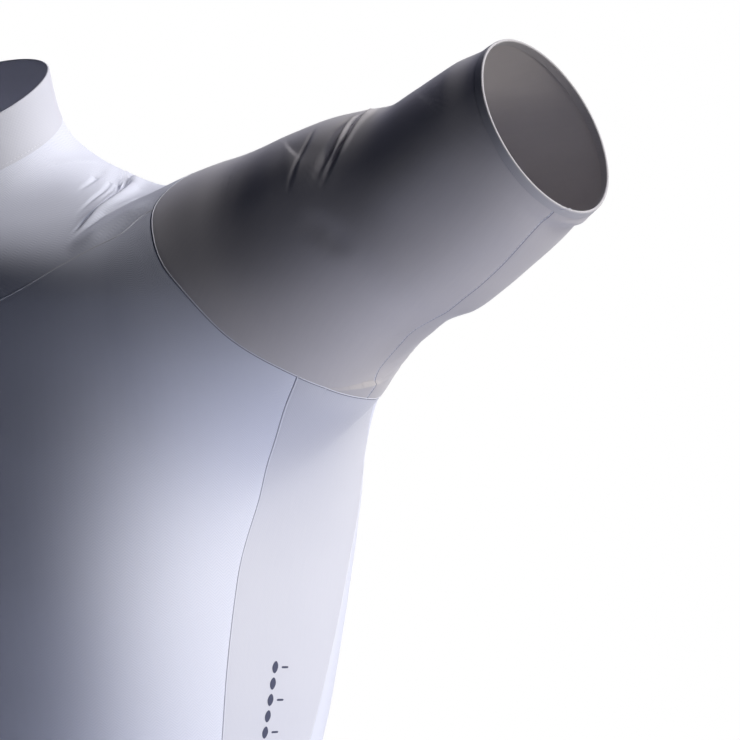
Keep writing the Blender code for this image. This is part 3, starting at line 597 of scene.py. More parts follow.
# Creases of the left side: height, half width, shares of its length where it starts and ends, and its line.
# A point of two numbers is a place in the photo, and one of three lies on the form in metres.
CREASES = (
    # Broad hollows and fullness where the cloth leaves the general figure
    (-0.0044, 0.0220, 0.35, 0.22, ((96, 158), (106, 163), (118, 170), (130, 176), (150, 183), (168, 185))),
    (0.0023, 0.0260, 0.25, 0.10, (
        (212, 169), (248, 157), (296, 139), (344, 122), (380, 114), (404, 105), (440, 81), (476, 58),
    )),
    (-0.0032, 0.0240, 0.06, 0.25, ((580, 223), (548, 254), (500, 294), (452, 320), (428, 336), (410, 352))),
    (-0.0042, 0.0220, 0.35, 0.30, ((436, 326), (418, 340), (404, 353), (394, 366), (386, 380), (376, 390))),
    (-0.0030, 0.0350, 0.10, 0.45, (
        (0.215, 0.090, -0.124), (0.165, 0.137, -0.142), (0.155, 0.145, -0.153), (0.145, 0.152, -0.169),
        (0.140, 0.154, -0.185), (0.135, 0.154, -0.206),
    )),
    # Folds from behind the neck to the yoke seam
    (-0.0010, 0.0015, 0.14, 0.30, ((0.046, 0.057, -0.007), (104, 163), (97, 171), (91, 178), (76, 194))),
    (-0.0009, 0.0014, 0.14, 0.30, ((0.056, 0.055, -0.010), (115, 169), (105, 184), (92, 198), (74, 218))),
    (-0.0008, 0.0012, 0.14, 0.40, ((0.060, 0.054, -0.011), (119, 171), (111, 185), (95, 206))),
    (-0.0018, 0.0010, 0.16, 0.45, ((0.063, 0.053, -0.012), (121, 173), (118, 181), (113, 189), (108, 196))),
    (0.0014, 0.0011, 0.14, 0.50, ((0.065, 0.053, -0.013), (125, 173), (120, 182), (114, 190), (105, 200))),
    (-0.0036, 0.0013, 0.12, 0.30, (
        (0.070, 0.050, -0.014), (127, 176), (121, 184), (111, 194), (99, 206), (92, 213), (78, 228),
        (68, 238),
    )),
    (0.0026, 0.0036, 0.12, 0.30, (
        (0.075, 0.050, -0.015), (133, 178), (123, 189), (111, 201), (99, 211), (92, 218), (78, 232),
        (68, 242),
    )),
    (-0.0012, 0.0022, 0.20, 0.30, (
        (158, 185), (149, 187), (141, 190), (130, 198), (113, 209), (104, 214), (92, 223), (78, 234),
        (66, 244),
    )),
    (0.0012, 0.0060, 0.30, 0.35, (
        (158, 200), (150, 203), (137, 209), (125, 216), (115, 222), (100, 231), (90, 238), (66, 253),
    )),
    # Creases over the raised shoulder: two sharp ridges with a groove at the left of each, and a thin crease
    (0.0028, 0.0015, 0.22, 0.55, (
        (378, 113), (375, 115), (369, 119), (361, 125), (354, 132), (347, 142), (340, 154), (334, 166),
    )),
    (-0.0030, 0.0016, 0.15, 0.60, (
        (372, 116), (363, 121), (354, 130), (347, 139), (339, 149), (332, 161), (328, 171), (323, 184),
        (322, 196),
    )),
    (0.0026, 0.0015, 0.20, 0.55, (
        (366, 117), (359, 121), (352, 127), (344, 137), (338, 146), (332, 157), (326, 169), (320, 184),
    )),
    (-0.0024, 0.0026, 0.25, 0.60, (
        (360, 118), (354, 121), (347, 127), (340, 135), (334, 145), (328, 156), (323, 165), (318, 176),
        (313, 191),
    )),
    (-0.0007, 0.0011, 0.45, 0.30, ((320, 129), (311, 142), (303, 155), (296, 172), (291, 188), (288, 200))),
    (0.0015, 0.0180, 0.40, 0.40, ((236, 196), (262, 190), (285, 180), (305, 166), (318, 150))),
    (0.0030, 0.0200, 0.45, 0.30, ((476, 70), (450, 120), (416, 158), (380, 184), (344, 204))),
    (-0.0010, 0.0070, 0.40, 0.40, ((296, 216), (318, 226), (338, 242), (352, 260))),
    # Behind the raised arm
    (-0.0016, 0.0034, 0.30, 0.40, (
        (0.248, 0.060, 0.002), (0.240, 0.083, -0.012), (0.235, 0.098, -0.037), (0.235, 0.101, -0.060),
    )),
    (0.0014, 0.0040, 0.30, 0.40, (
        (0.256, 0.056, 0.006), (0.249, 0.081, -0.008), (0.244, 0.096, -0.033), (0.243, 0.099, -0.054),
    )),
    (-0.0013, 0.0026, 0.40, 0.30, (
        (0.164, 0.052, -0.024), (0.156, 0.080, -0.034), (0.150, 0.104, -0.056), (0.148, 0.124, -0.088),
    )),
    (-0.0010, 0.0032, 0.40, 0.40, ((0.130, 0.056, -0.023), (0.118, 0.087, -0.033), (0.106, 0.113, -0.052))),
    (-0.0009, 0.0022, 0.30, 0.50, ((0.076, 0.056, -0.006), (0.080, 0.080, -0.018), (0.086, 0.105, -0.038))),
    (-0.0007, 0.0018, 0.30, 0.50, ((0.056, 0.064, -0.004), (0.054, 0.088, -0.016), (0.052, 0.112, -0.034))),
    # Below the armpit and at the waist behind
    (-0.0014, 0.0038, 0.30, 0.50, ((0.160, 0.140, -0.150), (0.146, 0.152, -0.170), (0.116, 0.170, -0.200))),
    (-0.0010, 0.0034, 0.30, 0.50, ((0.158, 0.138, -0.175), (0.138, 0.150, -0.206), (0.108, 0.162, -0.240))),
    (-0.0012, 0.0060, 0.50, 0.50, ((0.138, 0.118, -0.302), (0.104, 0.148, -0.312), (0.062, 0.162, -0.308))),
    (-0.0010, 0.0052, 0.50, 0.50, ((0.128, 0.126, -0.326), (0.090, 0.152, -0.330), (0.030, 0.164, -0.324))),
)
# Narrow creases of the right side: how much stronger or weaker, and how far from the left one's place
UNEVEN = ((0.7, 0.004), (1.1, -0.003), (0.8, 0.003), (1.2, 0.005), (0.6, -0.005))
UNEVEN_BELOW = 0.015
# How much wider a crease gets as it gets weaker
WIDER = 0.6
CREASE_STEPS = 28
# A crease is read as far as this many half widths away
CREASE_REACH = 3

# Soft unevenness of the whole cloth: height, waves a metre along X, Y and Z, and phase
UNDULATIONS = (
    (0.00010, 5.0, 8.0, 3.0, 0.4),
    (0.00005, 13.0, -7.0, 9.0, 2.1),
    (0.00002, -17.0, 24.0, 21.0, 4.0),
)


def crease_curves():
    """Each crease of both sides: its sizes with its curve on the form."""
    curves = []
    for number, (height, wide, fade_in, fade_out, line) in enumerate(CREASES):
        points = [seen_at(*point) if len(point) == 2 else point for point in line]
        curve = set_on_form(resample(points, CREASE_STEPS))
        curves.append((height, wide, fade_in, fade_out, curve))
        factor, aside = UNEVEN[number % len(UNEVEN)] if wide < UNEVEN_BELOW else (1.0, 0.0)
        way = unit(np.cross(form_normal(curve), np.gradient(curve, axis=0)))
        other = set_on_form(curve + way * aside) * (-1, 1, 1)
        curves.append((height * factor, wide * (1 + WIDER * (1 - factor)), fade_in, fade_out, other))
    return curves


def crease_height(p, height, wide, fade_in, fade_out, curve):
    """Height of one crease, a soft line, at points near it."""
    start, way = curve[:-1], np.diff(curve, axis=0)
    from_start = p[:, None] - start
    t = np.clip((from_start * way).sum(axis=-1) / (way**2).sum(axis=-1), 0, 1)
    away = np.linalg.norm(from_start - t[..., None] * way, axis=-1)
    nearest = away.argmin(axis=1)
    pick = np.arange(len(p))
    along = (nearest + t[pick, nearest]) / len(way)
    fade = np.clip(along / fade_in, 0, 1) * np.clip((1 - along) / fade_out, 0, 1)
    fade = fade * fade * (3 - 2 * fade)
    return height * fade * np.exp(-((away[pick, nearest] / wide) ** 2))


def relief(points, curves):
    """How far the cloth stands off the form at each point through creases and its soft unevenness."""
    p = points.reshape(-1, 3)
    height = np.zeros(len(p))
    for size, x, y, z, phase in UNDULATIONS:
        height += size * np.sin(2 * math.pi * (p @ (x, y, z)) + phase)
    for size, wide, fade_in, fade_out, curve in curves:
        margin = CREASE_REACH * wide
        near = ((p > curve.min(axis=0) - margin) & (p < curve.max(axis=0) + margin)).all(axis=1)
        if near.any():
            height[near] += crease_height(p[near], size, wide, fade_in, fade_out, curve)
    return height.reshape(points.shape[:-1])


SEAM_DIP = 0.00012
SEAM_DIP_WIDE = 0.0016


def lengths_along(grid, axis):
    """How far each point lies along its row or column from the first."""
    steps = np.linalg.norm(np.diff(grid, axis=axis), axis=-1)
    start = np.zeros_like(np.take(steps, [0], axis=axis))
    return np.concatenate([start, np.cumsum(steps, axis=axis)], axis=axis)


def seam_dip(grid, edges):
    """How far the cloth sinks beside the edges that are sewn: left, right, bottom or top."""
    along, up = lengths_along(grid, 1), lengths_along(grid, 0)
    away = {"left": along, "right": along[:, -1:] - along, "bottom": up, "top": up[-1:] - up}
    sunk = np.zeros(grid.shape[:2])
    for name in edges:
        sunk = np.maximum(sunk, np.exp(-((away[name] / SEAM_DIP_WIDE) ** 2)))
    return SEAM_DIP * sunk


def on_cloth(points, curves, lift=0.0):
    """Points of the form moved out to the creased cloth, and further by lift."""
    return points + form_normal(points) * (relief(points, curves) + lift)[..., None]


def new_object(name, data):
    obj = bpy.data.objects.new(name, data)
    bpy.context.scene.collection.objects.link(obj)
    return obj


def add_mesh(name, points, faces, uvs, material):
    """A smooth mesh piece with a place in metres on its cloth for each point."""
    mesh = bpy.data.meshes.new(name)
    mesh.from_pydata(np.asarray(points).tolist(), [], faces)
    layer = mesh.uv_layers.new(name="cloth")
    corners = np.empty(len(mesh.loops), int)
    mesh.loops.foreach_get("vertex_index", corners)
    layer.data.foreach_set("uv", np.asarray(uvs)[corners].ravel())
    mesh.shade_smooth()
    mesh.materials.append(material)
    obj = new_object(name, mesh)
    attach(obj, "jersey")
    return obj


def add_grid(name, grid, material, middle_column=0, flat=None):
    """A sheet from a grid, its cloth places measured from one of its columns and its lowest row."""
    flat = grid if flat is None else flat
    along = lengths_along(flat, 1)
    along = along - along[:, middle_column : middle_column + 1]
    uvs = np.stack([along, lengths_along(flat, 0)], axis=-1).reshape(-1, 2)
    index = np.arange(along.size).reshape(along.shape)
    faces = np.stack([index[:-1, :-1], index[:-1, 1:], index[1:, 1:], index[1:, :-1]], axis=-1)
    return add_mesh(name, grid.reshape(-1, 3), faces.reshape(-1, 4).tolist(), uvs, material)


def grid_normals(grid):
    return unit(np.cross(np.gradient(grid, axis=1), np.gradient(grid, axis=0)))


FOLD_ARC = 6


def folded(outer, normals, away, thick, inner_rows):
    """Cloth folded over its free edge, its first row: the result runs from the inside out."""
    inner = (outer - normals * thick)[:inner_rows]
    core = outer[0] - normals[0] * thick / 2 - away * thick / 2
    angles = np.radians(stretch(180, 0, FOLD_ARC))[:, None, None]
    rim = core + (np.cos(angles) * normals[0] + np.sin(angles) * away) * thick / 2
    return np.concatenate([inner[:0:-1], rim, outer[1:]])


def folded_band(rows, proud, inner_rows):
    """A band that stands a little proud of its rows on the form."""
    normals = form_normal(rows)
    return folded(rows + normals * proud, normals, unit(rows[0] - rows[1]), CLOTH, inner_rows)


STRIP_STEPS = 4
STRIP_SUNK = 0.00006


def add_strip(name, curve, normals, offset, half, height, material):
    """A low rounded ridge beside a curve, sunk a little at its sides."""
    side = unit(np.cross(np.gradient(curve, axis=0), normals))
    rows = [
        curve + side * (offset + half * s) + normals * (height * (1 - s * s) - STRIP_SUNK)
        for s in stretch(-1, 1, STRIP_STEPS)
    ]
    add_grid(name, np.stack(rows, axis=1), material)


class Shader:
    """A material's nodes, with short ways to add and join them. Lengths are millimetres on the cloth."""

    def __init__(self, name, colour, roughness, metallic=0.0, sheen=0.0, on_cloth=True):
        self.material = bpy.data.materials.new(name)
        self.material.use_nodes = True
        self.tree = self.material.node_tree
        self.main = self.tree.nodes["Principled BSDF"]
        self.colour = colour
        self.main.inputs["Base Color"].default_value = (*colour, 1.0)
        self.main.inputs["Roughness"].default_value = roughness
        self.main.inputs["Metallic"].default_value = metallic
        self.main.inputs["Sheen Weight"].default_value = sheen
        self.main.inputs["Sheen Roughness"].default_value = 0.5
        self.main.inputs["Specular IOR Level"].default_value = 0.25 if metallic < 0.5 else 0.5
        place = self.tree.nodes.new("ShaderNodeUVMap" if on_cloth else "ShaderNodeTexCoord")
        if on_cloth:
            place.uv_map = "cloth"
        split = self.tree.nodes.new("ShaderNodeSeparateXYZ")
        scale = self.tree.nodes.new("ShaderNodeVectorMath")
        scale.operation = "SCALE"
        scale.inputs["Scale"].default_value = 1000.0
        self.tree.links.new(place.outputs["UV" if on_cloth else "Object"], scale.inputs[0])
        self.tree.links.new(scale.outputs["Vector"], split.inputs[0])
        self.cloth = scale.outputs["Vector"]
        self.u, self.v = split.outputs["X"], split.outputs["Y"]

    def put(self, value, socket):
        if hasattr(value, "is_output"):
            self.tree.links.new(value, socket)
        else:
            socket.default_value = value

    def math(self, operation, *values):
        node = self.tree.nodes.new("ShaderNodeMath")
        node.operation = operation
        for value, socket in zip(values, node.inputs):
            self.put(value, socket)
        return node.outputs[0]

    def total(self, *parts):
        """The sum of values, each times its share."""
        products = [self.math("MULTIPLY", value, share) for value, share in parts]
        result = products[0]
        for product in products[1:]:
            result = self.math("ADD", result, product)
        return result

    def wave(self, phase, pitch):
        """A wave between 0 and 1 along a length."""
        turned = self.math("SINE", self.math("MULTIPLY", phase, 2 * math.pi / pitch))
        return self.math("MULTIPLY_ADD", turned, 0.5, 0.5)

    def noise(self, size, detail=2.0, vector=None):
        """Soft noise with grains of about this size."""
        node = self.tree.nodes.new("ShaderNodeTexNoise")
        node.inputs["Scale"].default_value = 1.0 / size
        node.inputs["Detail"].default_value = detail
        self.put(vector or self.cloth, node.inputs["Vector"])
        return node.outputs["Fac"]

    def stretched(self, x, y):
        """Cloth places stretched along one way, for streaks."""
        node = self.tree.nodes.new("ShaderNodeVectorMath")
        node.operation = "MULTIPLY"
        self.put(self.cloth, node.inputs[0])
        node.inputs[1].default_value = (x, y, 1.0)
        return node.outputs["Vector"]

    def tint(self, amount, dark, light):
        """Colour between two shares of the base colour."""
        node = self.tree.nodes.new("ShaderNodeMix")
        node.data_type = "RGBA"
        self.put(amount, node.inputs["Factor"])
        for socket, shares in (("A", dark), ("B", light)):
            node.inputs[socket].default_value = (*(c * share for c, share in zip(self.colour, shares)), 1.0)
        self.tree.links.new(node.outputs["Result"], self.main.inputs["Base Color"])

    def bump(self, height, distance):
        node = self.tree.nodes.new("ShaderNodeBump")
        node.inputs["Distance"].default_value = distance
        self.put(height, node.inputs["Height"])
        self.tree.links.new(node.outputs["Normal"], self.main.inputs["Normal"])

    def rough(self, amount, low, high):
        self.tree.links.new(self.math("MULTIPLY_ADD", amount, high - low, low), self.main.inputs["Roughness"])


# Base colours and how deep the knits' relief is. The sleeve, fine knit and cuff colours are greyer than the
# mesh knit's white partly as painted shade:
# they were set darker for the light of one view, on cloth of nearly the same white.
MESH_COLOUR, FINE_COLOUR_WITH_SHADE, SLEEVE_COLOUR_WITH_SHADE = (0.76, 0.775, 0.86), (0.67, 0.67, 0.73), (0.585, 0.555, 0.56)
EDGE_COLOUR, CUFF_COLOUR_WITH_SHADE, THREAD_COLOUR = (0.80, 0.80, 0.86), (0.50, 0.485, 0.50), (0.84, 0.84, 0.90)
# The gap colour is painted shadow for the dark strips along the seams.
SEAM_SHADOW_COLOUR, INK_COLOUR = (0.20, 0.20, 0.27), (0.075, 0.080, 0.125)
TAPE_COLOUR, COIL_COLOUR = (0.76, 0.77, 0.82), (0.62, 0.63, 0.68)
METAL_DARK, METAL_LIGHT = (0.42, 0.42, 0.46), (0.62, 0.62, 0.65)
KNIT_DEEP, SMOOTH_DEEP = 0.00005, 0.00003
GAP_DEEP, TAPE_DEEP, THREAD_DEEP, METAL_DEEP = 0.00004, 0.00006, 0.00012, 0.00002


def mesh_knit():
    """Micro mesh: slanting ribs that turn into upright columns of zigzags, with pores between the threads."""
    s = Shader("mesh_knit", MESH_COLOUR, 0.75, sheen=0.12)
    drift = s.math("MULTIPLY", s.noise(55.0, 1.0), 6.0)
    turned = s.math("PINGPONG", s.math("ADD", s.u, drift), 3.6)
    rib = s.wave(s.math("MULTIPLY_ADD", turned, 0.85, s.v), 1.55)
    cross = s.wave(s.math("MULTIPLY_ADD", turned, -1.6, s.v), 0.9)
    fine = s.noise(0.5, 1.0)
    height = s.total((rib, 0.6), (cross, 0.2), (fine, 0.3))
    s.tint(height, (0.91, 0.92, 0.95), (1.04, 1.03, 1.02))
    s.bump(height, KNIT_DEEP)
    s.rough(fine, 0.68, 0.85)
    return s.material


def fine_knit():
    """Smooth knit with fine upright ribs and faint slanting courses."""
    # Its base colour is partly painted shade: greyer than the mesh knit's white.
    s = Shader("fine_knit", FINE_COLOUR_WITH_SHADE, 0.7, sheen=0.12)
    rib = s.wave(s.u, 0.95)
    slant = s.wave(s.math("MULTIPLY_ADD", s.u, 0.8, s.v), 1.5)
    grain = s.noise(0.6)
    streak = s.noise(1.0, 1.0, s.stretched(0.9, 0.06))
    height = s.total((rib, 0.35), (slant, 0.2), (grain, 0.3))
    s.tint(s.total((height, 0.7), (streak, 0.4)), (0.94, 0.945, 0.965), (1.03, 1.03, 1.01))
    s.bump(height, KNIT_DEEP)
    s.rough(grain, 0.62, 0.78)
    return s.material


def sleeve_knit():
    """Very fine stretch knit, nearly smooth, with faint streaks along the arm and a soft sheen."""
    # Its base colour is partly painted shade: darker and warmer than the torso's white.
    s = Shader("sleeve_knit", SLEEVE_COLOUR_WITH_SHADE, 0.6, sheen=0.20)
    grain = s.noise(0.4)
    streak = s.noise(1.0, 2.0, s.stretched(0.5, 0.05))
    height = s.total((grain, 0.5), (s.wave(s.v, 0.7), 0.3))
    s.tint(s.total((height, 0.5), (streak, 0.5)), (0.93, 0.93, 0.945), (1.05, 1.05, 1.04))
    s.bump(height, SMOOTH_DEEP)
    s.rough(streak, 0.52, 0.66)
    return s.material


def band_cloth(name, colour):
    """Bonded stretch edge with fine cross ribs."""
    s = Shader(name, colour, 0.65, sheen=0.12)
    height = s.total((s.wave(s.u, 0.8), 0.5), (s.noise(0.5), 0.3))
    s.tint(height, (0.93, 0.93, 0.95), (1.03, 1.03, 1.02))
    s.bump(height, KNIT_DEEP)
    return s.material


def thread():
    """Sewing thread with a gap between stitches."""
    s = Shader("thread", THREAD_COLOUR, 0.6, sheen=0.1)
    stitch = s.math("POWER", s.wave(s.v, 2.4), 0.35)
    twist = s.wave(s.math("MULTIPLY_ADD", s.u, 2.2, s.v), 0.5)
    s.tint(s.total((twist, 0.2), (stitch, 0.8)), (0.55, 0.55, 0.60), (1.04, 1.04, 1.03))
    s.bump(s.total((stitch, 1.0), (twist, 0.3)), THREAD_DEEP)
    return s.material


def seam_shadow():
    """A dark strip of painted shadow along the gap where one cloth tucks under the next."""
    s = Shader("painted_seam_shadow", SEAM_SHADOW_COLOUR, 0.9)
    s.tint(s.noise(1.2), (0.8, 0.8, 0.85), (1.3, 1.3, 1.2))
    s.bump(s.noise(0.5), GAP_DEEP)
    return s.material


def tape_cloth():
    """Woven zip tape with a herringbone."""
    s = Shader("zip_tape", TAPE_COLOUR, 0.75)
    weave = s.wave(s.math("ADD", s.v, s.math("PINGPONG", s.u, 1.2)), 0.55)
    s.tint(weave, (0.86, 0.86, 0.88), (1.04, 1.04, 1.03))
    s.bump(weave, TAPE_DEEP)
    return s.material


def coil_plastic():
    s = Shader("zip_coil", COIL_COLOUR, 0.38)
    grain = s.noise(0.8)
    s.tint(grain, (0.90, 0.90, 0.91), (1.05, 1.05, 1.05))
    s.rough(grain, 0.32, 0.45)
    return s.material


def slate_print():
    """Flat printed ink that lets a little of the knit through."""
    s = Shader("slate_print", INK_COLOUR, 0.7)
    rib = s.wave(s.u, 0.95)
    s.tint(s.total((rib, 0.4), (s.noise(0.5), 0.6)), (0.75, 0.75, 0.8), (1.5, 1.5, 1.45))
    s.bump(rib, SMOOTH_DEEP)
    return s.material


def zip_metal():
    """Grey painted casting with a fine grain and slightly lighter wear."""
    s = Shader("zip_metal", (1.0, 1.0, 1.0), 0.5, metallic=0.85, on_cloth=False)
    grain = s.noise(1.0 / 0.9)
    s.tint(grain, METAL_DARK, METAL_LIGHT)
    s.rough(grain, 0.28, 0.46)
    s.bump(grain, METAL_DEEP)
    return s.material


PANEL_LOOKS = {
    "front": "mesh_knit",
    "side": "fine_knit",
    "yoke": "mesh_knit",
    "sleeve": "sleeve_knit",
    "back": "mesh_knit",
}
ALL_EDGES = ("left", "right", "bottom", "top")
OPEN_TOP = ("yoke", "back")


def add_panel(name, piece, node, grid, curves, looks, middle_column=0):
    """One sheet of knit with its creases and sunk seams."""
    look = PANEL_LOOKS[name]
    edges = ALL_EDGES[:3] if name in OPEN_TOP else ALL_EDGES
    points = on_cloth(grid, curves, -seam_dip(grid, edges))
    sheet = add_grid(piece, points, looks[look], middle_column, grid)
    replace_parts(sheet, node)
    return sheet


def build_panels(grids, curves, looks):
    """Front and side panels, the back in three sheets, and the sleeves."""
    sheets = {}
    for side, flip in SIDES:
        for name in ("front", "side", "yoke", "sleeve"):
            piece = f"{name}_{side}_cloth"
            node = "back" if name == "yoke" else f"{name}_{side}"
            sheets[piece] = add_panel(name, piece, node, turned(grids[name], flip), curves, looks)
    whole = both_halves(grids["back"])
    middle = whole.shape[1] // 2
    sheets["back_cloth"] = add_panel("back", "back_cloth", "back", whole, curves, looks, middle)
    return sheets


def band_rows(low, high, rows, curves):
    """Rows set on the form from one curve to another, with their creases."""
    share = stretch(0, 1, rows)[:, None, None]
    grid = low[None] * (1 - share) + high[None] * share
    grid[1:-1] = set_on_form(grid[1:-1], rounds=4)
    return on_cloth(grid, curves)


# Rows of the cuff edge, hem band and collar, and which of the fine columns they use
CUFF_ROWS, HEM_ROWS, COLLAR_ROWS = 4, 12, 14
CUFF_SKIP, HEM_SKIP, COLLAR_SKIP = 2, 3, 2


def build_bands(e, curves, looks):
    """Cuff edges, hem band and collar, each folded over its free edge."""
    bands = {}
    degrees = e["ring_degrees"][::CUFF_SKIP]
    cuff = sleeve_rows(degrees, lambda hole: stretch(0, CUFF_BAND, CUFF_ROWS)[:, None] + 0 * hole[None])
    for side, flip in SIDES:
        bands["cuff_" + side] = folded_band(on_cloth(turned(cuff, flip), curves), BAND_PROUD, CUFF_ROWS + 1)
    low = joined(e["hem_front_low"], e["hem_side_low"], e["hem_back_low"])[::HEM_SKIP]
    high = joined(e["hem_front"], e["hem_side"], e["hem_back"])[::HEM_SKIP]
    low, high = (both_halves(row[None])[0] for row in (low, high))
    bands["hem_band"] = folded_band(band_rows(low, high, HEM_ROWS, curves), BAND_PROUD, HEM_ROWS + 1)
    around = joined(e["neck_front_degrees"], e["neck_back_degrees"])[::COLLAR_SKIP]
    foot = joined(e["neck_front"], e["neck_back"])[::COLLAR_SKIP]
    rows = [foot]
    for height in stretch(0, COLLAR_HEIGHT, COLLAR_ROWS)[1:]:
        row = neck_points(around, foot[:, 2] + height)
        row[0, 0], row[-1, 0] = ZIP_HALF, 0.0
        rows.append(row)
    collar = both_halves(np.array(rows))
    bands["collar"] = folded_band(collar[::-1], BAND_PROUD / 2, COLLAR_ROWS + 1)[::-1]
    sheets = {}
    for name, grid in bands.items():
        slot = "fine_knit" if name == "collar" else "bonded_edge"
        look = "cuff_edge" if name.startswith("cuff") else slot
        sheets[name] = add_grid(name + "_cloth", grid, looks[look])
        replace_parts(sheets[name], name)
    return sheets


# Seam lines of the left half, then each strip's offset to the side, half width, height and look
# The dark strips along the seams are painted shadow where one cloth tucks under the next.
SEAM_LINES = {
    "armhole": ((-0.00045, 0.00034, 0.00030, "bonded_edge"), (0.00018, 0.00030, 0.00010, "painted_seam_shadow")),
    "side_front": ((0.00055, 0.00040, 0.00035, "bonded_edge"), (0.0, 0.00030, 0.00012, "painted_seam_shadow")),
    "side_back": ((-0.00055, 0.00040, 0.00035, "bonded_edge"), (0.0, 0.00030, 0.00012, "painted_seam_shadow")),
    "yoke": ((0.0, 0.00055, 0.00045, "bonded_edge"),),
    "underarm": ((0.0, 0.00035, 0.00014, "painted_seam_shadow"), (0.0008, 0.00035, 0.00030, "thread")),
    "cuff_edge": ((0.0, 0.00030, 0.00010, "painted_seam_shadow"),),
    "neck": ((0.0, 0.00035, 0.00012, "painted_seam_shadow"), (-0.0016, 0.00035, 0.00030, "thread")),
    "hem": (
        (0.0, 0.00035, 0.00012, "painted_seam_shadow"),
        (0.0020, 0.00035, 0.00030, "thread"),
        (0.0052, 0.00035, 0.00030, "thread"),
    ),
}
STITCH_HALF, STITCH_HIGH, MOUTH_STITCH_HIGH = 0.00035, 0.00030, 0.00032


def build_seams(e, grids, curves, looks):
    lines = {
        "armhole": e["ring"],
        "side_front": e["side_front"],
        "side_back": e["side_back"],
        "yoke": e["yoke"],
        "underarm": grids["sleeve"][:, 0],
        "cuff_edge": grids["sleeve"][0],
        "neck": joined(e["neck_front"], e["neck_back"]),
        "hem": joined(e["hem_front"], e["hem_side"], e["hem_back"]),
    }
    for name, strips in SEAM_LINES.items():
        for side, flip in SIDES:
            line = lines[name] * (flip, 1, 1)
            normals = form_normal(line)
            curve = on_cloth(line, curves, -SEAM_DIP)
            for number, (offset, half, height, look) in enumerate(strips, 1):
                piece = f"seam_{name}_{side}_{number}"
                add_strip(piece, curve, normals, offset * flip, half, height, looks[look])


def pocket_grid(whole, name):
    """A pocket's cloth over the back: sewn down at its sides and foot, standing off at its mouth."""
    middle = whole.shape[1] // 2
    down, across = FINE["back"]
    left, right = sorted(middle - column * across for column in POCKET_COLUMNS[name])
    low, high = (row * down for row in POCKET_ROWS)
    grid = whole[low : high + 1, left : right + 1]
    rows, count = grid.shape[:2]
    u = np.linspace(0, 1, count)[None, :]
    v = np.linspace(0, 1, rows)[:, None]
    bulge = np.sin(math.pi * u) ** POCKET_FULLNESS * np.sin(0.5 * math.pi * v)
    along, up = lengths_along(grid, 1), lengths_along(grid, 0)
    from_edge = np.minimum(np.minimum(along, along[:, -1:] - along), up)
    sewn = 1 - np.exp(-((from_edge / SEWN_WIDE) ** 2))
    phase = 2 * math.pi * along / GATHER_PITCH + GATHER_SHIFT * np.sin(along / GATHER_DRIFT)
    gather = np.sin(phase) * np.exp(-(up[-1:] - up) / GATHER_DEEP)
    off = POCKET_OFF + POCKET_LIFT * bulge - POCKET_FOOT + GATHER * gather
    return grid + form_normal(grid) * (POCKET_FOOT + off * sewn)[..., None]


def build_pockets(grids, looks):
    whole = both_halves(grids["back"])
    sheets = {}
    for name in POCKET_COLUMNS:
        raised = pocket_grid(whole, name)
        normals = grid_normals(raised)
        rows = raised[::-1]
        cloth = folded(rows, normals[::-1], unit(rows[0] - rows[1]), POCKET_CLOTH, POCKET_FOLD_ROWS)[::-1]
        middle = raised.shape[1] // 2
        sheets[name] = add_grid(name + "_cloth", cloth, looks["fine_knit"], middle)
        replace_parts(sheets[name], name)
        for number, column in enumerate(SIDE_STITCH_COLUMNS, 1):
            add_strip(f"{name}_side_stitch_{number}", raised[:, column], normals[:, column], 0.0,
                      STITCH_HALF, STITCH_HIGH, looks["thread"])
        mouth = resample(raised[MOUTH_STITCH_ROW], MOUTH_STITCH_STEPS)
        add_strip(f"{name}_mouth_stitch", mouth, form_normal(mouth), 0.0,
                  STITCH_HALF, MOUTH_STITCH_HIGH, looks["thread"])
    return sheets


ZIP_COLLAR_STEPS, ZIP_HEM_STEPS = 24, 12
SAME_PLACE = 1e-5


def zip_line(e):
    """Points of the middle of the zip from the hem's lower edge to the collar's top."""
    high = e["neck_front"][0]
    heights = high[2] + stretch(0, COLLAR_HEIGHT, ZIP_COLLAR_STEPS)[1:]
    collar = neck_points(np.full(ZIP_COLLAR_STEPS, e["neck_front_degrees"][0]), heights)
    low = e["hem_front_low"][:1]
    share = stretch(0, 1, ZIP_HEM_STEPS)[1:-1, None]
    hem = low * (1 - share) + e["zip_low"][:1] * share
    line = np.concatenate([low, hem, joined(e["zip_low"], e["zip_mid"], e["zip_high"]), collar])
    line[:, 0] = 0.0
    steps = np.linalg.norm(np.diff(line, axis=0), axis=1)
    return line[np.concatenate([[True], steps > SAME_PLACE])]


def zip_normals(points):
    return unit(form_normal(points) * (0, 1, 1))


def closed_shape(base, rings, sides, flip):
    """Faces of a tapering tube of rings with both ends closed, its points counted from base."""
    faces = []
    for k in range(rings - 1):
        for j in range(sides):
            after = (j + 1) % sides
            start = base + k * sides
            faces.append([start + j, start + after, start + sides + after, start + sides + j])
    last = base + (rings - 1) * sides
    faces.append(list(range(last, last + sides)))
    faces.append(list(range(base, base + sides))[::-1])
    return faces if flip > 0 else [face[::-1] for face in faces]


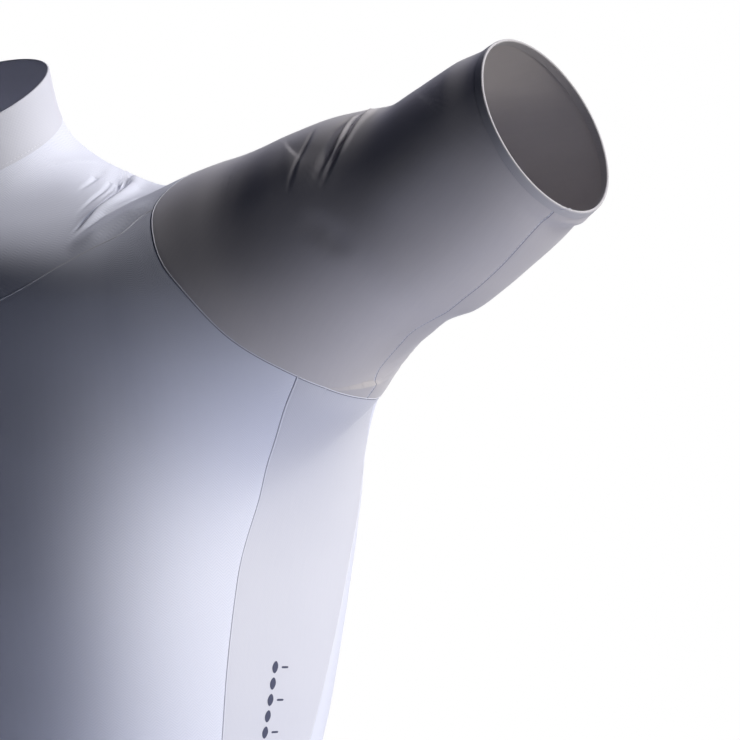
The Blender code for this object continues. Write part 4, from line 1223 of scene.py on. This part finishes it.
def build_zip(e, looks):
    """Two woven tapes and two rows of interlocking nylon teeth."""
    line = zip_line(e)
    total = curve_lengths(line)[-1]
    places = at_lengths(line, stretch(0, total, TAPE_STEPS))
    normals = zip_normals(places)
    sheets = {}
    for side, flip in SIDES:
        across = np.array(sorted(flip * stretch(TAPE_IN, TAPE_OUT, 4)))
        outer = places[:, None] + across[None, :, None] * (1, 0, 0) - normals[:, None] * TAPE_SUNK
        node = "zip_tape_" + side
        sheets[node] = add_grid(node + "_cloth", outer, looks["zip_tape"])
        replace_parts(sheets[node], node)
    count = int(total / TOOTH_PITCH)
    points, faces, uvs = [], [], []
    angles = np.linspace(0, 2 * math.pi, TOOTH_SIDES, endpoint=False)
    for row, flip in ((0.25, 1), (0.75, -1)):
        middles = at_lengths(line, (np.arange(count) + row) * TOOTH_PITCH)
        outs = zip_normals(middles)
        ways = np.cross((1.0, 0.0, 0.0), outs)
        for middle, out, way in zip(middles, outs, ways):
            faces.extend(closed_shape(len(points), TOOTH_RINGS, TOOTH_SIDES, flip))
            flat = np.cos(angles)[:, None] * way + TOOTH_FLAT * np.sin(angles)[:, None] * out
            for t in stretch(0, 1, TOOTH_RINGS - 1):
                x = flip * (TOOTH_FOOT + TOOTH_LENGTH * t)
                swell = math.sin(math.pi * (SWELL_START + SWELL_SPAN * t))
                radius = TOOTH_RADIUS * (TOOTH_SLIM + (1 - TOOTH_SLIM) * swell)
                lift = TOOTH_LIFT + TOOTH_ARCH * math.sin(math.pi * t)
                points.extend((middle + np.array((x, 0, 0)) + out * lift + radius * flat).tolist())
                uvs.extend((x, a * radius) for a in angles)
    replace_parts(add_mesh("zip_teeth", points, faces, uvs, looks["zip_coil"]), "zip_coil")
    return sheets


# Print on the left side panel: its share across the panel, and the shares of the height where it runs
PRINT_COLUMN = 0.47
PRINT_ROWS = (0.22, 0.57)
PRINT_PITCH = 0.0085
PRINT_PROUD = 0.00006
# An oval, and the bar beside every other one: how far aside, half sizes, and how pointed
OVAL = (0.0, (0.0022, 0.0032), 1.15)
BAR = (0.0075, (0.0026, 0.00055), 0.5)
PRINT_CORNERS = 24


def rounded(values, power):
    return np.sign(values) * np.abs(values) ** power


def build_print(grid, curves, looks):
    """Small slate ovals, every other one with a short bar, up the lower part of the left side panel."""
    rows, columns = grid.shape[:2]
    column = int(PRINT_COLUMN * (columns - 1))
    low, high = (int(share * (rows - 1)) for share in PRINT_ROWS)
    line = grid[low : high + 1, column]
    middles = at_lengths(line, np.arange(0.0, curve_lengths(line)[-1], PRINT_PITCH))
    middles = set_on_form(middles, rounds=3)
    ups = unit(np.gradient(middles, axis=0))
    sides = np.cross(ups, form_normal(middles))
    angles = np.linspace(0, 2 * math.pi, PRINT_CORNERS, endpoint=False)
    points, faces, uvs = [], [], []
    for number, (middle, up, side) in enumerate(zip(middles, ups, sides)):
        for aside, (wide, tall), power in (OVAL, BAR)[: 2 - number % 2]:
            x = rounded(np.cos(angles), power) * wide + aside
            y = rounded(np.sin(angles), power) * tall
            base = len(points)
            centre = base + PRINT_CORNERS
            flat = np.column_stack([np.append(x, aside), np.append(y, 0.0)])
            ring = set_on_form(middle + flat[:, :1] * side + flat[:, 1:] * up, rounds=2)
            points.extend(on_cloth(ring, curves, PRINT_PROUD).tolist())
            uvs.extend(flat.tolist())
            faces.extend([centre, base + k, base + (k + 1) % PRINT_CORNERS] for k in range(PRINT_CORNERS))
    add_mesh("side_left_print", points, faces, uvs, looks["slate_print"])


# Loose thread end: radius, how far it lies off the cloth and rises, where it runs past the cuff, and drift
END_RADIUS = 0.00022
END_OFF, END_RISE, END_BOW = 0.0006, 0.0016, 1.6
END_START, END_LENGTH, END_DRIFT = 0.0036, 0.0042, 0.0022


def build_thread_end(grids, looks):
    """A short loose thread end where the underarm seam meets the cuff."""
    start = grids["sleeve"][0, 0]
    out = form_normal(start[None])[0]
    around = unit(grids["sleeve"][0, 3] - start)
    curve = bpy.data.curves.new("cuff_thread_end", "CURVE")
    curve.dimensions = "3D"
    curve.bevel_depth = END_RADIUS
    curve.bevel_resolution = 2
    spline = curve.splines.new("POLY")
    places = stretch(0, 1, 8)
    spline.points.add(len(places) - 1)
    for point, t in zip(spline.points, places):
        rise = out * (END_OFF + END_RISE * t * (END_BOW - t))
        place = start + rise + ARM_OUT * (END_START + END_LENGTH * t) - around * END_DRIFT * t * t
        point.co = (*place, 1.0)
    curve.materials.append(looks["thread"])
    obj = new_object("cuff_thread_end", curve)
    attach(obj, "jersey")


# Lights: azimuth and height in degrees, distance, size, and brightness of white cloth in red, green, blue
LIGHTS = (
    ("light_side", 112.0, 30.0, 2.4, 1.0, (0.86, 0.85, 0.83)),
    ("light_level", 106.0, -17.0, 2.4, 1.0, (0.23, 0.22, 0.20)),
    ("light_near", 70.0, 0.0, 0.9, 0.5, (0.055, 0.058, 0.066)),
    ("light_back", 155.0, 55.0, 2.4, 1.0, (0.39, 0.39, 0.43)),
    ("light_low", 90.0, -65.0, 1.0, 0.7, (0.19, 0.22, 0.33)),
    ("light_over", -120.0, 36.0, 2.4, 1.0, (0.060, 0.060, 0.082)),
    ("light_left", -60.0, 0.0, 2.4, 1.4, (0.010, 0.012, 0.016)),
    ("light_far_side", -135.0, 0.0, 2.4, 1.4, (0.42, 0.42, 0.44)),
)
FILL = (0.007, 0.008, 0.016)
AIM = np.array((0.10, 0.05, -0.18))
FLOOR_HEIGHT = -1.45
FLOOR_HALF = 1.2
FLOOR_COLOUR = (0.80, 0.80, 0.82, 1.0)


def add_lights():
    for name, turn, height, distance, size, bright in LIGHTS:
        peak = max(bright)
        a, h = math.radians(turn), math.radians(height)
        way = np.array((math.sin(a) * math.cos(h), -math.cos(a) * math.cos(h), math.sin(h)))
        data = bpy.data.lights.new(name, "AREA")
        data.shape = "DISK"
        data.size = size
        data.energy = peak * math.pi**2 * distance**2
        data.color = [part / peak for part in bright]
        obj = new_object(name, data)
        obj.location = AIM + way * distance
        obj.rotation_euler = (math.pi / 2 - h, 0.0, a)
        obj.visible_camera = False


def add_world():
    """White behind everything for the camera, and a faint cool fill for the cloth."""
    world = bpy.data.worlds.new("studio")
    bpy.context.scene.world = world
    world.use_nodes = True
    nodes, links = world.node_tree.nodes, world.node_tree.links
    nodes.clear()
    path = nodes.new("ShaderNodeLightPath")
    fill = nodes.new("ShaderNodeBackground")
    fill.inputs["Color"].default_value = (*FILL, 1.0)
    white = nodes.new("ShaderNodeBackground")
    white.inputs["Color"].default_value = (1.0, 1.0, 1.0, 1.0)
    mix = nodes.new("ShaderNodeMixShader")
    out = nodes.new("ShaderNodeOutputWorld")
    links.new(path.outputs["Is Camera Ray"], mix.inputs["Fac"])
    links.new(fill.outputs[0], mix.inputs[1])
    links.new(white.outputs[0], mix.inputs[2])
    links.new(mix.outputs[0], out.inputs["Surface"])


def add_floor():
    material = bpy.data.materials.new("floor")
    material.use_nodes = True
    shader = material.node_tree.nodes["Principled BSDF"]
    shader.inputs["Base Color"].default_value = FLOOR_COLOUR
    shader.inputs["Roughness"].default_value = 0.9
    mesh = bpy.data.meshes.new("floor")
    ways = ((-1, -1), (1, -1), (1, 1), (-1, 1))
    corners = [(x * FLOOR_HALF, y * FLOOR_HALF, FLOOR_HEIGHT) for x, y in ways]
    mesh.from_pydata(corners, [], [(0, 1, 2, 3)])
    mesh.materials.append(material)
    new_object("floor", mesh)


def add_camera():
    data = bpy.data.cameras.new("camera")
    data.lens = CAMERA_LENS
    data.sensor_width = SENSOR
    obj = new_object("camera", data)
    obj.location = CAMERA_PLACE
    obj.rotation_euler = (math.pi / 2, 0.0, math.radians(CAMERA_TURN))
    bpy.context.scene.camera = obj


def make_grids():
    """Fine grids of the left half's panels and sleeve, and the fine seams."""
    coarse_edges = panel_edges(make_edges(1))
    e = make_edges(EDGE_FINE)
    fine_edges = panel_edges(e)
    grids = {}
    for name, edges in coarse_edges.items():
        grids[name] = fine_panel(patch(*edges), fine_edges[name], *FINE[name])
    down, across = FINE["sleeve"]
    ring, degrees = (e[name][:: EDGE_FINE // across] for name in ("ring", "ring_degrees"))
    share = stretch(0, 1, SLEEVE_STEPS * down)[:, None]
    sleeve = sleeve_rows(degrees, lambda hole: CUFF_BAND + (hole[None] - CUFF_BAND) * share)
    sleeve[-1] = ring[::-1]
    grids["sleeve"] = sleeve
    return e, grids


def finish_cad_nodes():
    """The slider and its pull stay as they are and get a metal finish."""
    metal = zip_metal()
    for name in ("zip_slider", "zip_pull"):
        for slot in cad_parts[name].material_slots:
            slot.material = metal


def main():
    add_camera()
    add_world()
    add_lights()
    add_floor()
    e, grids = make_grids()
    curves = crease_curves()
    looks = {
        "mesh_knit": mesh_knit(),
        "fine_knit": fine_knit(),
        "sleeve_knit": sleeve_knit(),
        "bonded_edge": band_cloth("bonded_edge", EDGE_COLOUR),
        # The cuff edge's base colour is partly painted shade: darker than the other bonded edges.
        "cuff_edge": band_cloth("cuff_edge", CUFF_COLOUR_WITH_SHADE),
        "thread": thread(),
        "painted_seam_shadow": seam_shadow(),
        "zip_tape": tape_cloth(),
        "zip_coil": coil_plastic(),
        "slate_print": slate_print(),
    }
    sheets = build_panels(grids, curves, looks)
    sheets.update(build_bands(e, curves, looks))
    build_seams(e, grids, curves, looks)
    sheets.update(build_pockets(grids, looks))
    sheets.update(build_zip(e, looks))
    build_print(grids["side"], curves, looks)
    build_thread_end(grids, looks)
    finish_cad_nodes()
    bpy.context.scene.view_settings.view_transform = "Standard"


main()
